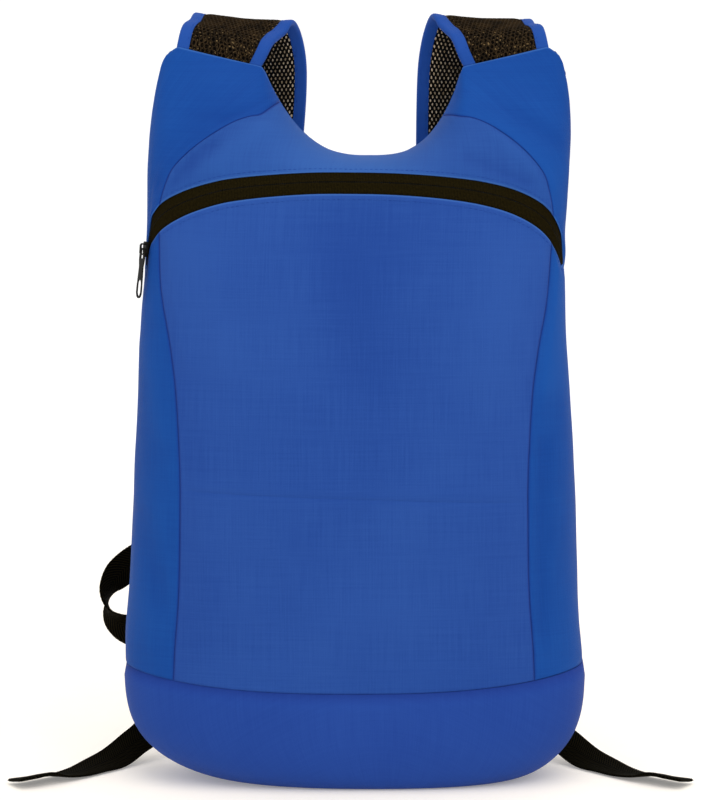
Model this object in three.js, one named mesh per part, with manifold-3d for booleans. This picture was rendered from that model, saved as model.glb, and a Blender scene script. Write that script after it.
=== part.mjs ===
// A soft sports backpack standing on its base, with an arched zipper and two padded mesh straps.
// Millimetres, +Z up. The front faces -Y, and the origin is under the middle of the body, on the floor.

import * as THREE from "three";
import { mergeVertices } from "three/addons/utils/BufferGeometryUtils.js";
import Module from "manifold-3d";

const wasm = await Module();
wasm.setup();

// Driving dimensions of the cloth
const CLOTH = 1.6;
const SEAM_GAP = 0.3;
const SEAM_GAP_ANGLE = 0.22;
const FRONT_ROUND = 2.6;
const BACK_ROUND = 3.4;

// The body, level by level: half width, the line of its outer edges, and its depth before and behind it
const SECTIONS = [
  { height: 0, halfWidth: 138, edge: 0, front: 53, back: 51 },
  { height: 80, halfWidth: 137.8, edge: 0, front: 54.5, back: 52.5 },
  { height: 120, halfWidth: 135.3, edge: 0, front: 55, back: 53 },
  { height: 170, halfWidth: 133.2, edge: 0, front: 55, back: 53 },
  { height: 230, halfWidth: 130, edge: 0, front: 51, back: 49 },
  { height: 290, halfWidth: 125.6, edge: 0, front: 43.5, back: 42 },
  { height: 325, halfWidth: 124.9, edge: 1, front: 36.5, back: 36 },
  { height: 350, halfWidth: 125.4, edge: 4.5, front: 32, back: 30 },
  { height: 370, halfWidth: 126.3, edge: 8.5, front: 29, back: 24 },
  { height: 391, halfWidth: 126.2, edge: 14, front: 27, back: 16 },
  { height: 409, halfWidth: 124.5, edge: 18.5, front: 26, back: 9 },
  { height: 421, halfWidth: 122.4, edge: 21.3, front: 26, back: 5 },
  { height: 431, halfWidth: 119.6, edge: 23.3, front: 26, back: 2.5 },
  { height: 440, halfWidth: 114.8, edge: 24.5, front: 26, back: 2 },
];

// The top leans a little to one side
const LEAN = { from: 290, to: 440, shift: 5.2 };

// The base: a flat middle, a little to one side, that turns up into the bottom seam
const BASE = { halfWidth: 81.2, front: 40.4, back: 44, round: 2.3, spread: 1.8, climb: 2.87, proud: 1.4 };
const BASE_SHIFT = { floor: 11.5, seam: 0.5 };
const BOTTOM_SEAM = { side: 71, dip: 11 };

// The zipper's middle line, round the body from its right edge at 0 degrees, and its visible band
const ZIP_LINE = [
  { angle: -40, height: 298 },
  { angle: -10, height: 301.5 },
  { angle: 0, height: 307 },
  { angle: 6, height: 313 },
  { angle: 10, height: 318 },
  { angle: 14, height: 322.8 },
  { angle: 21.9, height: 331 },
  { angle: 25.8, height: 335 },
  { angle: 33.3, height: 341 },
  { angle: 44.4, height: 347.9 },
  { angle: 53.2, height: 352.2 },
  { angle: 64, height: 356.1 },
  { angle: 78.3, height: 359.4 },
  { angle: 90, height: 360.9 },
  { angle: 100.5, height: 360.5 },
  { angle: 120.8, height: 356.6 },
  { angle: 132.4, height: 352.2 },
  { angle: 142, height: 347.6 },
  { angle: 155, height: 340.2 },
  { angle: 161.6, height: 334.8 },
  { angle: 166, height: 330.5 },
  { angle: 169.3, height: 320.5 },
  { angle: 174, height: 312.5 },
  { angle: 180, height: 306.5 },
  { angle: 190, height: 301.5 },
  { angle: 220, height: 298 },
];
const ZIP = { half: 6.2, spread: 3 };
const ZIP_TAPER = { right: { end: 4, full: 12 }, left: { end: 5, full: 9.5 } };
const ZIP_EDGE_GAP = 0.4;
const TAPE = { recess: 0.5, thick: 1.1 };
const COIL = { half: 1.7, rise: 0.5, depth: 1.4, gap: 0.3 };

// The seams between front and side panels, as a share of the half width, from bottom seam to zipper
const FRONT_SEAM = [
  { rise: 0, share: 0.779 },
  { rise: 0.19, share: 0.769 },
  { rise: 0.4, share: 0.775 },
  { rise: 0.51, share: 0.79 },
  { rise: 0.63, share: 0.817 },
  { rise: 0.72, share: 0.852 },
  { rise: 0.86, share: 0.913 },
  { rise: 1, share: 0.935 },
];

// The shoulder seams, from the zipper to the neckline
const SHOULDER_SEAM = [
  { rise: 0, share: 0.935 },
  { rise: 0.05, share: 0.928 },
  { rise: 0.11, share: 0.905 },
  { rise: 0.17, share: 0.878 },
  { rise: 0.23, share: 0.822 },
  { rise: 0.3, share: 0.748 },
  { rise: 0.37, share: 0.672 },
  { rise: 0.44, share: 0.6 },
  { rise: 0.5, share: 0.537 },
  { rise: 0.57, share: 0.482 },
  { rise: 0.7, share: 0.44 },
  { rise: 0.85, share: 0.41 },
  { rise: 1, share: 0.39 },
];

// The back seams run inside the outer edge and meet it at the shoulder
const BACK_SEAM = { inset: 16, topShare: 0.985 };

// The top edge: a neckline a little to one side, sloping shoulders and rounded outer corners
const NECK = { low: 374, corner: 428, share: 0.492, power: 2.8, skew: 0.055 };
const NECK_SOFTEN = { top: 2, zip: 36 };
const SHOULDER = { top: 439.5, share: 0.955, cornerDrop: 5.5 };
const TOP_EDGE = { depth: 24.5, puff: 5, bend: 1.5 };
const LEAF_GAP = { neck: 2.4, strap: 6.8, edge: 3.8 };

// How finely the cloth is divided
const FRONT_COLUMNS = 12;
const LOWER_ROWS = 11;
const UPPER_ROWS = 10;
const TUB_ROWS = 6;
const SIDE_COLUMNS = [0, 0.065, 0.15, 0.215, 0.266, 0.33, 0.42, 0.51, 0.6, 0.7, 0.84, 1];
const BACK_COLUMNS = [0, 0.1, 0.25, 0.38, 0.5, 0.7, 0.86, 0.95, 1];

// The straps: a mesh pad, row by row down its middle line, on the right of a mirror plane at the middle.
// Both straps roll the same way over the shoulders.
const STRAP_ROWS = [
  { x: 87.8, y: 24.5, z: 425.4, tilt: 13.3, roll: 0, width: 51, thick: 1.6 },
  { x: 86.1, y: 24.4, z: 433.6, tilt: 13.1, roll: 0, width: 52.2, thick: 1.8 },
  { x: 82.9, y: 28.6, z: 442.5, tilt: 9, roll: 1.5, width: 54.8, thick: 3.4 },
  { x: 78.2, y: 40, z: 448.7, tilt: 2.4, roll: 3.7, width: 56, thick: 3.8 },
  { x: 72.8, y: 55, z: 452.5, tilt: 2.1, roll: 4, width: 62, thick: 4 },
  { x: 68.9, y: 65, z: 445.8, tilt: 1.3, roll: 5, width: 62, thick: 4 },
  { x: 65.8, y: 76, z: 419, tilt: 0.8, roll: 2.7, width: 64, thick: 4 },
  { x: 72, y: 88, z: 298, tilt: -3, roll: 0, width: 59, thick: 4 },
  { x: 86, y: 81, z: 232, tilt: -6, roll: 0, width: 49, thick: 4 },
  { x: 98, y: 68, z: 180, tilt: -4, roll: 0, width: 38, thick: 3 },
];
const STRAP_STEPS = 4;
const BINDING = { width: 8, thick: 0.9, gap: 0.5, first: 5 };

// Webbing, its loop at the strap's end and the adjuster that it runs through
const WEBBING = { width: 20, thick: 1.4, end: 25, endThick: 2.2 };
const TAB = { lap: 14, drop: 8, half: 2.9 };
const LOCK = { halfWidth: 14, from: 6.8, to: 28.2, thick: 3, slot: 10.7 };
const LOCK_SLOTS = [
  { from: 9.2, to: 14.2 },
  { from: 18.2, to: 25.8 },
];
const LOCK_BAR = 27;

// Routes of the webbing: middle line and the direction of its width, x outward on either side
const LOOP_ROUTE = [
  { x: 121.3, y: 40.8, z: 78, wx: 0, wy: 0, wz: 1 },
  { x: 137, y: 48.3, z: 79.8, wx: -0.08, wy: -0.18, wz: 0.98 },
  { x: 144, y: 48.5, z: 83.5, wx: -0.25, wy: -0.45, wz: 0.85 },
  { x: 149.2, y: 47.5, z: 89.5, wx: -0.25, wy: -0.75, wz: 0.6 },
  { x: 152, y: 46.5, z: 97.5, wx: 0.05, wy: -0.95, wz: 0.3 },
  { x: 150.8, y: 46.5, z: 106.5, wx: 0.45, wy: -0.8, wz: 0.4 },
  { x: 145.5, y: 48.3, z: 114.5, wx: 0.62, wy: -0.4, wz: 0.68 },
  { x: 137.5, y: 51, z: 121, wx: 0.6, wy: -0.1, wz: 0.8 },
  { x: 123, y: 56, z: 129.5, wx: 0.62, wy: 0, wz: 0.78 },
  { x: 110.5, y: 60, z: 138, wx: 0.8, wy: 0, wz: 0.6 },
];
const STRAIGHT_ROUTE = [
  { x: 121.3, y: 40.8, z: 78, wx: 0, wy: 0, wz: 1 },
  { x: 124.3, y: 46.6, z: 78.6, wx: 0.25, wy: -0.12, wz: 0.96 },
  { x: 124.3, y: 52.6, z: 82, wx: 0.62, wy: -0.1, wz: 0.75 },
  { x: 121.8, y: 56.6, z: 90, wx: 0.85, wy: 0, wz: 0.5 },
  { x: 117.5, y: 58.4, z: 106, wx: 0.92, wy: 0, wz: 0.38 },
  { x: 112, y: 59, z: 127, wx: 0.93, wy: 0, wz: 0.35 },
];
const TAIL_SHIFT = { left: 0, right: -4.2 };
const TAIL_ROUTE = [
  { x: 107, y: 68, z: 132, wx: 1, wy: 0, wz: 0 },
  { x: 115, y: 66.5, z: 62, wx: 0.93, wy: 0.25, wz: 0.35 },
  { x: 120.5, y: 60.5, z: 38, wx: 0.87, wy: 0.3, wz: 0.5 },
  { x: 125.8, y: 53.4, z: 18.4, wx: 0.78, wy: 0.41, wz: 0.59 },
  { x: 137.3, y: 38.9, z: 10, wx: 0.67, wy: 0.56, wz: 0.49 },
  { x: 147, y: 23.6, z: 5.1, wx: 0.6, wy: 0.64, wz: 0.4 },
  { x: 157.5, y: 10.8, z: 3.1, wx: 0.6, wy: 0.73, wz: 0.21 },
  { x: 167.3, y: -1.2, z: 1.7, wx: 0.6, wy: 0.78, wz: 0.05 },
  { x: 176.8, y: -12, z: 2.1, wx: 0.58, wy: 0.79, wz: -0.09 },
  { x: 186.2, y: -20.6, z: 4.2, wx: 0.54, wy: 0.77, wz: -0.24 },
  { x: 194.3, y: -28, z: 4.1, wx: 0.52, wy: 0.76, wz: -0.22 },
  { x: 203.5, y: -33.2, z: 3.7, wx: 0.48, wy: 0.83, wz: -0.18 },
];
const WEBBING_STEPS = 3;

// The slider at the zipper's left end, and the pull on its bridge
const SLIDER_ANGLE = 10.7;
const SLIDER = { width: 6.5, length: 9, nose: 4.5, thick: 1.3, clear: 0.2 };
const BRIDGE = { width: 2, length: 7, bar: 0.9, opening: 2.1 };
const PULL = { length: 30, width: 8.2, neck: 6, thick: 0.8, bar: 1.2, slant: 1.5 };
const PULL_SLOT = { width: 3.8, length: 5 };
const PULL_HOLE = { width: 5.8, length: 10, rim: 1.2 };

// Materials
const finish = (color, roughness, metalness = 0) =>
  new THREE.MeshStandardMaterial({ color, roughness, metalness });
const BLUE_CLOTH = finish(0x2b4f9d, 0.75);
const BLUE_BINDING = finish(0x213c7f, 0.8);
const BLACK_MESH = finish(0x141210, 0.9);
const BLACK_WEBBING = finish(0x100d07, 0.7);
const BLACK_TAPE = finish(0x1a1609, 0.8);
const BLACK_METAL = finish(0x15130f, 0.4, 0.3);
const BLACK_PLASTIC = finish(0x121212, 0.5);

// Pieces that come in pairs are made on the right, then mirrored for the left and leant with the body
const SIDES = [
  { name: "left", sign: -1 },
  { name: "right", sign: 1 },
];

const backpack = new THREE.Group();

function addPart(name, geometry, material) {
  const mesh = new THREE.Mesh(geometry, material);
  mesh.name = name;
  backpack.add(mesh);
  return mesh;
}

function addSidePart(name, geometry, material, sign) {
  const position = geometry.attributes.position;
  for (let index = 0; index < position.count; index += 1) {
    position.setX(index, sign * position.getX(index) + lean(position.getZ(index)));
  }
  if (sign < 0) geometry.setIndex(Array.from(geometry.index.array).reverse());
  geometry.computeVertexNormals();
  return addPart(name, geometry, material);
}

// Small maths

const radians = THREE.MathUtils.degToRad;
const mix = THREE.MathUtils.lerp;
const ease = (value, from, to) => THREE.MathUtils.smoothstep(value, from, to);
const shareOfRows = (count) => Array.from({ length: count + 1 }, (_, index) => index / count);

// A smooth reading of a table's column between its rows
function readTable(rows, key, column, at) {
  const last = rows.length - 1;
  const place = THREE.MathUtils.clamp(at, rows[0][key], rows[last][key]);
  let row = 0;
  while (row < last - 1 && rows[row + 1][key] < place) row += 1;
  const slope = (index) => {
    const low = rows[Math.max(index - 1, 0)];
    const high = rows[Math.min(index + 1, last)];
    return (high[column] - low[column]) / (high[key] - low[key]);
  };
  const from = rows[row];
  const to = rows[row + 1];
  const span = to[key] - from[key];
  const share = (place - from[key]) / span;
  const square = share * share;
  const cube = square * share;
  return (
    (2 * cube - 3 * square + 1) * from[column] +
    (cube - 2 * square + share) * span * slope(row) +
    (3 * square - 2 * cube) * to[column] +
    (cube - square) * span * slope(row + 1)
  );
}

const halfWidth = (height) => readTable(SECTIONS, "height", "halfWidth", height);
const edgeLine = (height) => readTable(SECTIONS, "height", "edge", height);
const frontDepth = (height) => readTable(SECTIONS, "height", "front", height);
const backDepth = (height) => readTable(SECTIONS, "height", "back", height);
const lean = (height) => LEAN.shift * ease(height, LEAN.from, LEAN.to);

// The body's surface: an angle of 0 is the right edge, 90 the front, 180 the left edge, 270 the back

function around(angle, round) {
  const cosine = Math.cos(radians(angle));
  const sine = Math.sin(radians(angle));
  const bend = round ?? (sine >= 0 ? FRONT_ROUND : BACK_ROUND);
  const share = Math.sign(cosine) * Math.abs(cosine) ** (2 / bend);
  return { share, out: Math.abs(sine) ** (2 / bend), facesFront: sine >= 0 };
}

// The front angle, right of the middle, at which the body reaches a share of its half width
const frontAngle = (share) => THREE.MathUtils.radToDeg(Math.acos(share ** (FRONT_ROUND / 2)));
const backAngle = (share) => -THREE.MathUtils.radToDeg(Math.acos(share ** (BACK_ROUND / 2)));
const frontness = (angle) => Math.max(0, Math.sin(radians(angle)));
const toSide = (angle, sign) => (sign > 0 ? angle : 180 - angle);

const bottomSeam = (angle) => BOTTOM_SEAM.side - BOTTOM_SEAM.dip * frontness(angle) ** 2;

// An angle between the back's middle at -90 and the same line at 270
const sameTurn = (angle) => THREE.MathUtils.euclideanModulo(angle + 90, 360) - 90;

const zipLine = (angle) => readTable(ZIP_LINE, "angle", "height", sameTurn(angle));

function zipHalf(angle) {
  const { right, left } = ZIP_TAPER;
  const fromRight = ease(sameTurn(angle), right.end, right.full);
  const fromLeft = ease(180 - sameTurn(angle), left.end, left.full);
  return (ZIP.half + ZIP.spread * (1 - frontness(angle))) * Math.min(fromRight, fromLeft);
}

// Cloth between the bottom seam and the zipper
function skin(angle, height) {
  const { share, out, facesFront } = around(angle);
  const depth = facesFront ? -frontDepth(height) : backDepth(height);
  return new THREE.Vector3(
    share * halfWidth(height) + lean(height),
    edgeLine(height) + depth * out,
    height,
  );
}

// The lower of the neckline and the shoulder line; their corner softens away below the top edge
function topHeight(share, rise) {
  const across = Math.abs(share);
  const aside = Math.abs(share - NECK.skew * Math.max(0, 1 - (across / NECK.share) ** 2));
  const neckline = NECK.low + (NECK.corner - NECK.low) * (aside / NECK.share) ** NECK.power;
  const along = (across - NECK.share) / (SHOULDER.share - NECK.share);
  const corner = Math.max(0, (across - SHOULDER.share) / (1 - SHOULDER.share));
  const shoulder = mix(NECK.corner, SHOULDER.top, Math.min(1, along)) - SHOULDER.cornerDrop * corner ** 2;
  const apart = neckline - shoulder;
  return 0.5 * (neckline + shoulder - Math.hypot(apart, mix(NECK_SOFTEN.zip, NECK_SOFTEN.top, rise)));
}

// The room between the front and back cloth along the top edge, wide enough for a strap at the shoulders
function leafGap(share) {
  const across = Math.abs(share);
  const toStrap = mix(LEAF_GAP.neck, LEAF_GAP.strap, ease(across, 0.4, 0.5));
  return mix(toStrap, LEAF_GAP.edge, ease(across, 0.93, 1));
}

// Cloth above the zipper in front, and above the zipper's ends behind; rise is 0 there and 1 at the top
function crown(angle, rise) {
  const { share, out, facesFront } = around(angle);
  const start = zipLine(angle) + zipHalf(angle);
  const puff = facesFront ? TOP_EDGE.puff * out * 4 * rise * (1 - rise) : 0;
  const height = mix(start, topHeight(share, rise), rise) + puff;
  const blend = rise ** TOP_EDGE.bend;
  const depth = facesFront ? -frontDepth(start) : backDepth(height);
  const leaf = (facesFront ? -0.5 : 0.5) * leafGap(share);
  return new THREE.Vector3(
    share * halfWidth(height) + lean(height),
    mix(edgeLine(height) + depth * out, TOP_EDGE.depth + leaf, blend),
    height,
  );
}

// The base, from the edge of its flat middle (turn 0) to the bottom seam (turn 1)
function tub(angle, turn) {
  const quarter = (turn * Math.PI) / 2;
  const grow = Math.sin(quarter) ** (2 / BASE.spread);
  const climb = 1 - Math.max(0, Math.cos(quarter)) ** (2 / BASE.climb);
  const seam = bottomSeam(angle) - SEAM_GAP / 2;
  const facing = around(angle).facesFront ? FRONT_ROUND : BACK_ROUND;
  const { share, out, facesFront } = around(angle, mix(BASE.round, facing, grow));
  const depth = facesFront
    ? -mix(BASE.front, frontDepth(seam) + BASE.proud, grow)
    : mix(BASE.back, backDepth(seam) + BASE.proud, grow);
  const width = mix(BASE.halfWidth, halfWidth(seam) + BASE.proud, grow);
  const shift = mix(BASE_SHIFT.floor, BASE_SHIFT.seam, grow);
  return new THREE.Vector3(share * width + shift, depth * out, seam * climb);
}

// A point of a surface with its outward direction
function spot(surface, angle, level, levelStep, lowest = -Infinity, highest = Infinity) {
  const angleStep = 0.4;
  const below = Math.max(level - levelStep, lowest);
  const above = Math.min(level + levelStep, highest);
  const alongAngle = surface(angle + angleStep, level).sub(surface(angle - angleStep, level));
  const alongLevel = surface(angle, above).sub(surface(angle, below));
  return { point: surface(angle, level), outward: alongLevel.cross(alongAngle).normalize() };
}

const skinSpot = (angle, height) => spot(skin, angle, height, 0.4);
const crownSpot = (angle, rise) => spot(crown, angle, rise, 0.01, 0, 1);
const tubSpot = (angle, turn) => spot(tub, angle, turn, 0.01, 0, 1);

// Closed bodies

// A closed body from points and triangles, turned so that its faces point out
function closedBody(points, triangles) {
  let volume = 0;
  for (const [a, b, c] of triangles) {
    volume += points[a].dot(new THREE.Vector3().crossVectors(points[b], points[c]));
  }
  const turned = volume > 0 ? triangles : triangles.map(([a, b, c]) => [a, c, b]);
  const geometry = new THREE.BufferGeometry().setFromPoints(points);
  geometry.setIndex(turned.flat());
  geometry.computeVertexNormals();
  return geometry;
}

// Four corners as two triangles, cut along either diagonal or along the shorter one
const cutFirst = (a, b, c, d) => [[a, b, c], [a, c, d]];
const cutSecond = (a, b, c, d) => [[a, b, d], [b, c, d]];

function cutShorter(points, a, b, c, d) {
  const first = points[a].distanceToSquared(points[c]);
  const second = points[b].distanceToSquared(points[d]);
  return first <= second ? cutFirst(a, b, c, d) : cutSecond(a, b, c, d);
}

// A wall from a grid of spots: its faces lie at two heights over the surface
function wall(grid, outerLift = () => 0, innerLift = () => -CLOTH) {
  const rows = grid.length;
  const columns = grid[0].length;
  const points = [];
  for (const lift of [outerLift, innerLift]) {
    grid.forEach((row, r) => {
      for (const { point, outward } of row) {
        points.push(point.clone().addScaledVector(outward, lift(r / (rows - 1))));
      }
    });
  }
  const outer = (r, c) => r * columns + c;
  const inner = (r, c) => rows * columns + outer(r, c);
  const triangles = [];
  const quad = (a, b, c, d) => triangles.push(...cutShorter(points, a, b, c, d));
  for (let r = 0; r < rows - 1; r += 1) {
    for (let c = 0; c < columns - 1; c += 1) {
      quad(outer(r, c), outer(r + 1, c), outer(r + 1, c + 1), outer(r, c + 1));
      quad(inner(r, c), inner(r, c + 1), inner(r + 1, c + 1), inner(r + 1, c));
    }
    const end = columns - 1;
    quad(outer(r, 0), inner(r, 0), inner(r + 1, 0), outer(r + 1, 0));
    quad(outer(r, end), outer(r + 1, end), inner(r + 1, end), inner(r, end));
  }
  for (let c = 0; c < columns - 1; c += 1) {
    const top = rows - 1;
    quad(outer(0, c), outer(0, c + 1), inner(0, c + 1), inner(0, c));
    quad(outer(top, c), inner(top, c), inner(top, c + 1), outer(top, c + 1));
  }
  return closedBody(points, triangles);
}

// A body swept through stations, each with its own outline of the same number of points. Faces are cut
// the same way on a sleeve as on what it holds, so that twisted stretches stay clear of each other.
function sweep(stations) {
  const count = stations[0].outline.length;
  const points = stations.flatMap(({ origin, across, normal, outline }) =>
    outline.map(([a, n]) => origin.clone().addScaledVector(across, a).addScaledVector(normal, n)),
  );
  const triangles = [];
  for (let s = 0; s < stations.length - 1; s += 1) {
    for (let c = 0; c < count; c += 1) {
      const next = (c + 1) % count;
      const here = s * count;
      const there = here + count;
      const corners = [here + c, here + next, there + next, there + c];
      const rising = stations[s].outline[c][0] <= stations[s].outline[next][0];
      triangles.push(...(rising ? cutFirst(...corners) : cutSecond(...corners)));
    }
  }
  const flat = stations[0].outline.map(([a, n]) => new THREE.Vector2(a, n));
  const last = (stations.length - 1) * count;
  const clockwise = THREE.ShapeUtils.isClockWise(flat);
  for (const [a, b, c] of THREE.ShapeUtils.triangulateShape(flat, [])) {
    const [p, q] = clockwise ? [b, c] : [c, b];
    const [s, t] = clockwise ? [c, b] : [b, c];
    triangles.push([a, p, q], [last + a, last + s, last + t]);
  }
  return closedBody(points, triangles);
}

// Stations along a smooth line through rows, with each row's width direction and sizes carried along
function stationsAlong(points, widths, sizes, steps) {
  const line = new THREE.CatmullRomCurve3(points);
  const widthLine = new THREE.CatmullRomCurve3(widths, false, "catmullrom");
  const sizeLine = new THREE.CatmullRomCurve3(sizes, false, "catmullrom");
  const count = steps * (points.length - 1);
  return shareOfRows(count).map((share) => {
    const along = line.getTangent(share);
    const across = widthLine.getPoint(share).addScaledVector(along, -along.dot(widthLine.getPoint(share)));
    across.normalize();
    const normal = new THREE.Vector3().crossVectors(across, along);
    const size = sizeLine.getPoint(share);
    return { origin: line.getPoint(share), along, across, normal, width: size.x, thick: size.y };
  });
}

const bar = (width, thick) => [
  [-width / 2, -thick / 2],
  [width / 2, -thick / 2],
  [width / 2, thick / 2],
  [-width / 2, thick / 2],
];

// Cloth panels

const seamAngle = (table, rise) => frontAngle(readTable(table, "rise", "share", rise));

// The height of a rise between the bottom seam and the zipper
function lowerHeight(angle, rise) {
  const from = bottomSeam(angle) + SEAM_GAP / 2;
  const to = zipLine(angle) - zipHalf(angle) - SEAM_GAP / 2;
  return mix(from, to, rise);
}

// The same spacing of columns on the front panel and the yoke, which face each other across the zipper
function middleAngles(seam) {
  const edge = around(seam + SEAM_GAP_ANGLE).share;
  return shareOfRows(FRONT_COLUMNS).map((column) => {
    const share = edge * (1 - 2 * column);
    return share >= 0 ? frontAngle(share) : 180 - frontAngle(-share);
  });
}

function sideAngles(seam, back, sign) {
  const angles = SIDE_COLUMNS.map((column) => mix(seam - SEAM_GAP_ANGLE, back + SEAM_GAP_ANGLE, column));
  return angles.map((angle) => toSide(angle, sign));
}

const backShare = (rise) => {
  const low = 1 - BACK_SEAM.inset / halfWidth(zipLine(0));
  return mix(BACK_SEAM.topShare, low, (1 - rise) ** 2);
};
const LOWER_BACK_ANGLE = backAngle(backShare(0));

function frontPanel() {
  const grid = shareOfRows(LOWER_ROWS).map((rise) =>
    middleAngles(seamAngle(FRONT_SEAM, rise)).map((angle) => skinSpot(angle, lowerHeight(angle, rise))),
  );
  addPart("front_panel", wall(grid), BLUE_CLOTH);
}

function sidePanel({ name, sign }) {
  const grid = shareOfRows(LOWER_ROWS).map((rise) => {
    const angles = sideAngles(seamAngle(FRONT_SEAM, rise), LOWER_BACK_ANGLE, sign);
    return angles.map((angle) => skinSpot(angle, lowerHeight(angle, rise)));
  });
  addPart(`side_panel_${name}`, wall(grid), BLUE_CLOTH);
}

// A small lift keeps the cloth above the zipper's ends clear of the cloth below
const crownRise = (rise) => mix(0.002, 1, rise);

function topYoke() {
  const grid = shareOfRows(UPPER_ROWS).map((rise) =>
    middleAngles(seamAngle(SHOULDER_SEAM, rise)).map((angle) => crownSpot(angle, crownRise(rise))),
  );
  addPart("top_yoke", wall(grid), BLUE_CLOTH);
}

function shoulderPanel({ name, sign }) {
  const grid = shareOfRows(UPPER_ROWS).map((rise) => {
    const angles = sideAngles(seamAngle(SHOULDER_SEAM, rise), backAngle(backShare(rise)), sign);
    return angles.map((angle) => crownSpot(angle, crownRise(rise)));
  });
  addPart(`shoulder_panel_${name}`, wall(grid), BLUE_CLOTH);
}

// Angles across the back, from the right back seam to the left one
function backAngles(share) {
  const edge = around(backAngle(share) - SEAM_GAP_ANGLE).share;
  const half = BACK_COLUMNS.map((column) => edge * column);
  const right = half.map((place) => backAngle(place)).reverse();
  const left = half.slice(1).map((place) => -180 - backAngle(place));
  return [...right, ...left];
}

function backPanel() {
  const lower = shareOfRows(LOWER_ROWS).map((rise) =>
    backAngles(backShare(0)).map((angle) => {
      const height = mix(bottomSeam(angle) + SEAM_GAP / 2, zipLine(angle), rise);
      return skinSpot(angle, height);
    }),
  );
  const upper = shareOfRows(UPPER_ROWS).map((rise) =>
    backAngles(backShare(rise)).map((angle) => crownSpot(angle, rise)),
  );
  addPart("back_panel", wall([...lower, ...upper.slice(1)]), BLUE_CLOTH);
}

// The base: rings of spots round its turned-up edge, closed by a flat floor outside and inside
function bottomPanel() {
  const seam = seamAngle(FRONT_SEAM, 0);
  const ring = [
    ...sideAngles(seam, LOWER_BACK_ANGLE, 1).reverse(),
    ...middleAngles(seam),
    ...sideAngles(seam, LOWER_BACK_ANGLE, -1),
    ...backAngles(backShare(0)).reverse().map((angle) => angle + 360),
  ];
  const loop = ring.filter((angle, index) => index === 0 || angle - ring[index - 1] > 2 * SEAM_GAP_ANGLE);
  const count = loop.length;
  const rows = shareOfRows(TUB_ROWS).map((turn) => loop.map((angle) => tubSpot(angle, turn)));
  const outer = rows.flat().map(({ point }) => point);
  const inner = rows.flat().map(({ point, outward }) => point.clone().addScaledVector(outward, -CLOTH));
  const points = [...outer, ...inner];
  const triangles = [];
  const quad = (a, b, c, d) => triangles.push([a, b, c], [a, c, d]);
  for (let c = 0; c < count; c += 1) {
    const next = (c + 1) % count;
    for (let r = 0; r < TUB_ROWS; r += 1) {
      const low = r * count;
      const high = low + count;
      quad(low + c, high + c, high + next, low + next);
      const innerLow = outer.length + low;
      const innerHigh = outer.length + high;
      quad(innerLow + c, innerLow + next, innerHigh + next, innerHigh + c);
    }
    const rim = TUB_ROWS * count;
    quad(rim + c, outer.length + rim + c, outer.length + rim + next, rim + next);
  }
  const floor = outer.slice(0, count).map(({ x, y }) => new THREE.Vector2(x, y));
  const outline = THREE.ShapeUtils.isClockWise(floor);
  for (const [a, b, c] of THREE.ShapeUtils.triangulateShape(floor, [])) {
    const [p, q] = outline ? [c, b] : [b, c];
    triangles.push([a, p, q], [outer.length + a, outer.length + q, outer.length + p]);
  }
  addPart("bottom_panel", closedBody(points, triangles), BLUE_CLOTH);
}

// Zipper

function zipAngles() {
  const seam = seamAngle(FRONT_SEAM, 1);
  const inBand = (angle) => zipHalf(angle) > COIL.half + COIL.gap + 2 * ZIP_EDGE_GAP;
  const right = sideAngles(seam, LOWER_BACK_ANGLE, 1).reverse().filter(inBand);
  const left = sideAngles(seam, LOWER_BACK_ANGLE, -1).filter(inBand);
  return [...right, ...middleAngles(seam), ...left];
}

// A strip of the zipper between two heights at each angle
function zipStrip(heights, outerLift, innerLift) {
  const rows = heights.length;
  const grid = heights.map((height) => zipAngles().map((angle) => skinSpot(angle, height(angle))));
  return wall(grid, (share) => outerLift(Math.round(share * (rows - 1))), innerLift);
}

function zipper() {
  const coilEdge = COIL.half + COIL.gap;
  const low = (angle) => zipLine(angle) - zipHalf(angle) + ZIP_EDGE_GAP;
  const high = (angle) => zipLine(angle) + zipHalf(angle) - ZIP_EDGE_GAP;
  const above = (offset) => (angle) => zipLine(angle) + offset;
  const tapeOuter = () => -TAPE.recess;
  const tapeInner = () => -TAPE.recess - TAPE.thick;
  addPart("zip_tape_upper", zipStrip([above(coilEdge), high], tapeOuter, tapeInner), BLACK_TAPE);
  addPart("zip_tape_lower", zipStrip([low, above(-coilEdge)], tapeOuter, tapeInner), BLACK_TAPE);
  const crest = [-TAPE.recess, COIL.rise, -TAPE.recess];
  const coil = zipStrip([-1, 0, 1].map((s) => above(s * COIL.half)), (r) => crest[r], () => -COIL.depth);
  addPart("zip_coil", coil, BLACK_TAPE);
}

// A closed mesh as a solid for joining, and back
function toSolid(geometry) {
  const bare = geometry.clone();
  bare.deleteAttribute("normal");
  bare.deleteAttribute("uv");
  const merged = mergeVertices(bare, 1e-4);
  const vertProperties = Float32Array.from(merged.attributes.position.array);
  const triVerts = Uint32Array.from(merged.index.array);
  return new wasm.Manifold(new wasm.Mesh({ numProp: 3, vertProperties, triVerts }));
}

function fromSolid(solid) {
  const { vertProperties, triVerts } = solid.getMesh();
  const geometry = new THREE.BufferGeometry();
  geometry.setAttribute("position", new THREE.BufferAttribute(vertProperties, 3));
  geometry.setIndex(new THREE.BufferAttribute(triVerts, 1));
  geometry.computeVertexNormals();
  return geometry;
}

function plate(shape, thick) {
  const geometry = new THREE.ExtrudeGeometry(shape, { depth: thick, bevelEnabled: false, curveSegments: 5 });
  return geometry.translate(0, 0, -thick / 2);
}

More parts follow.
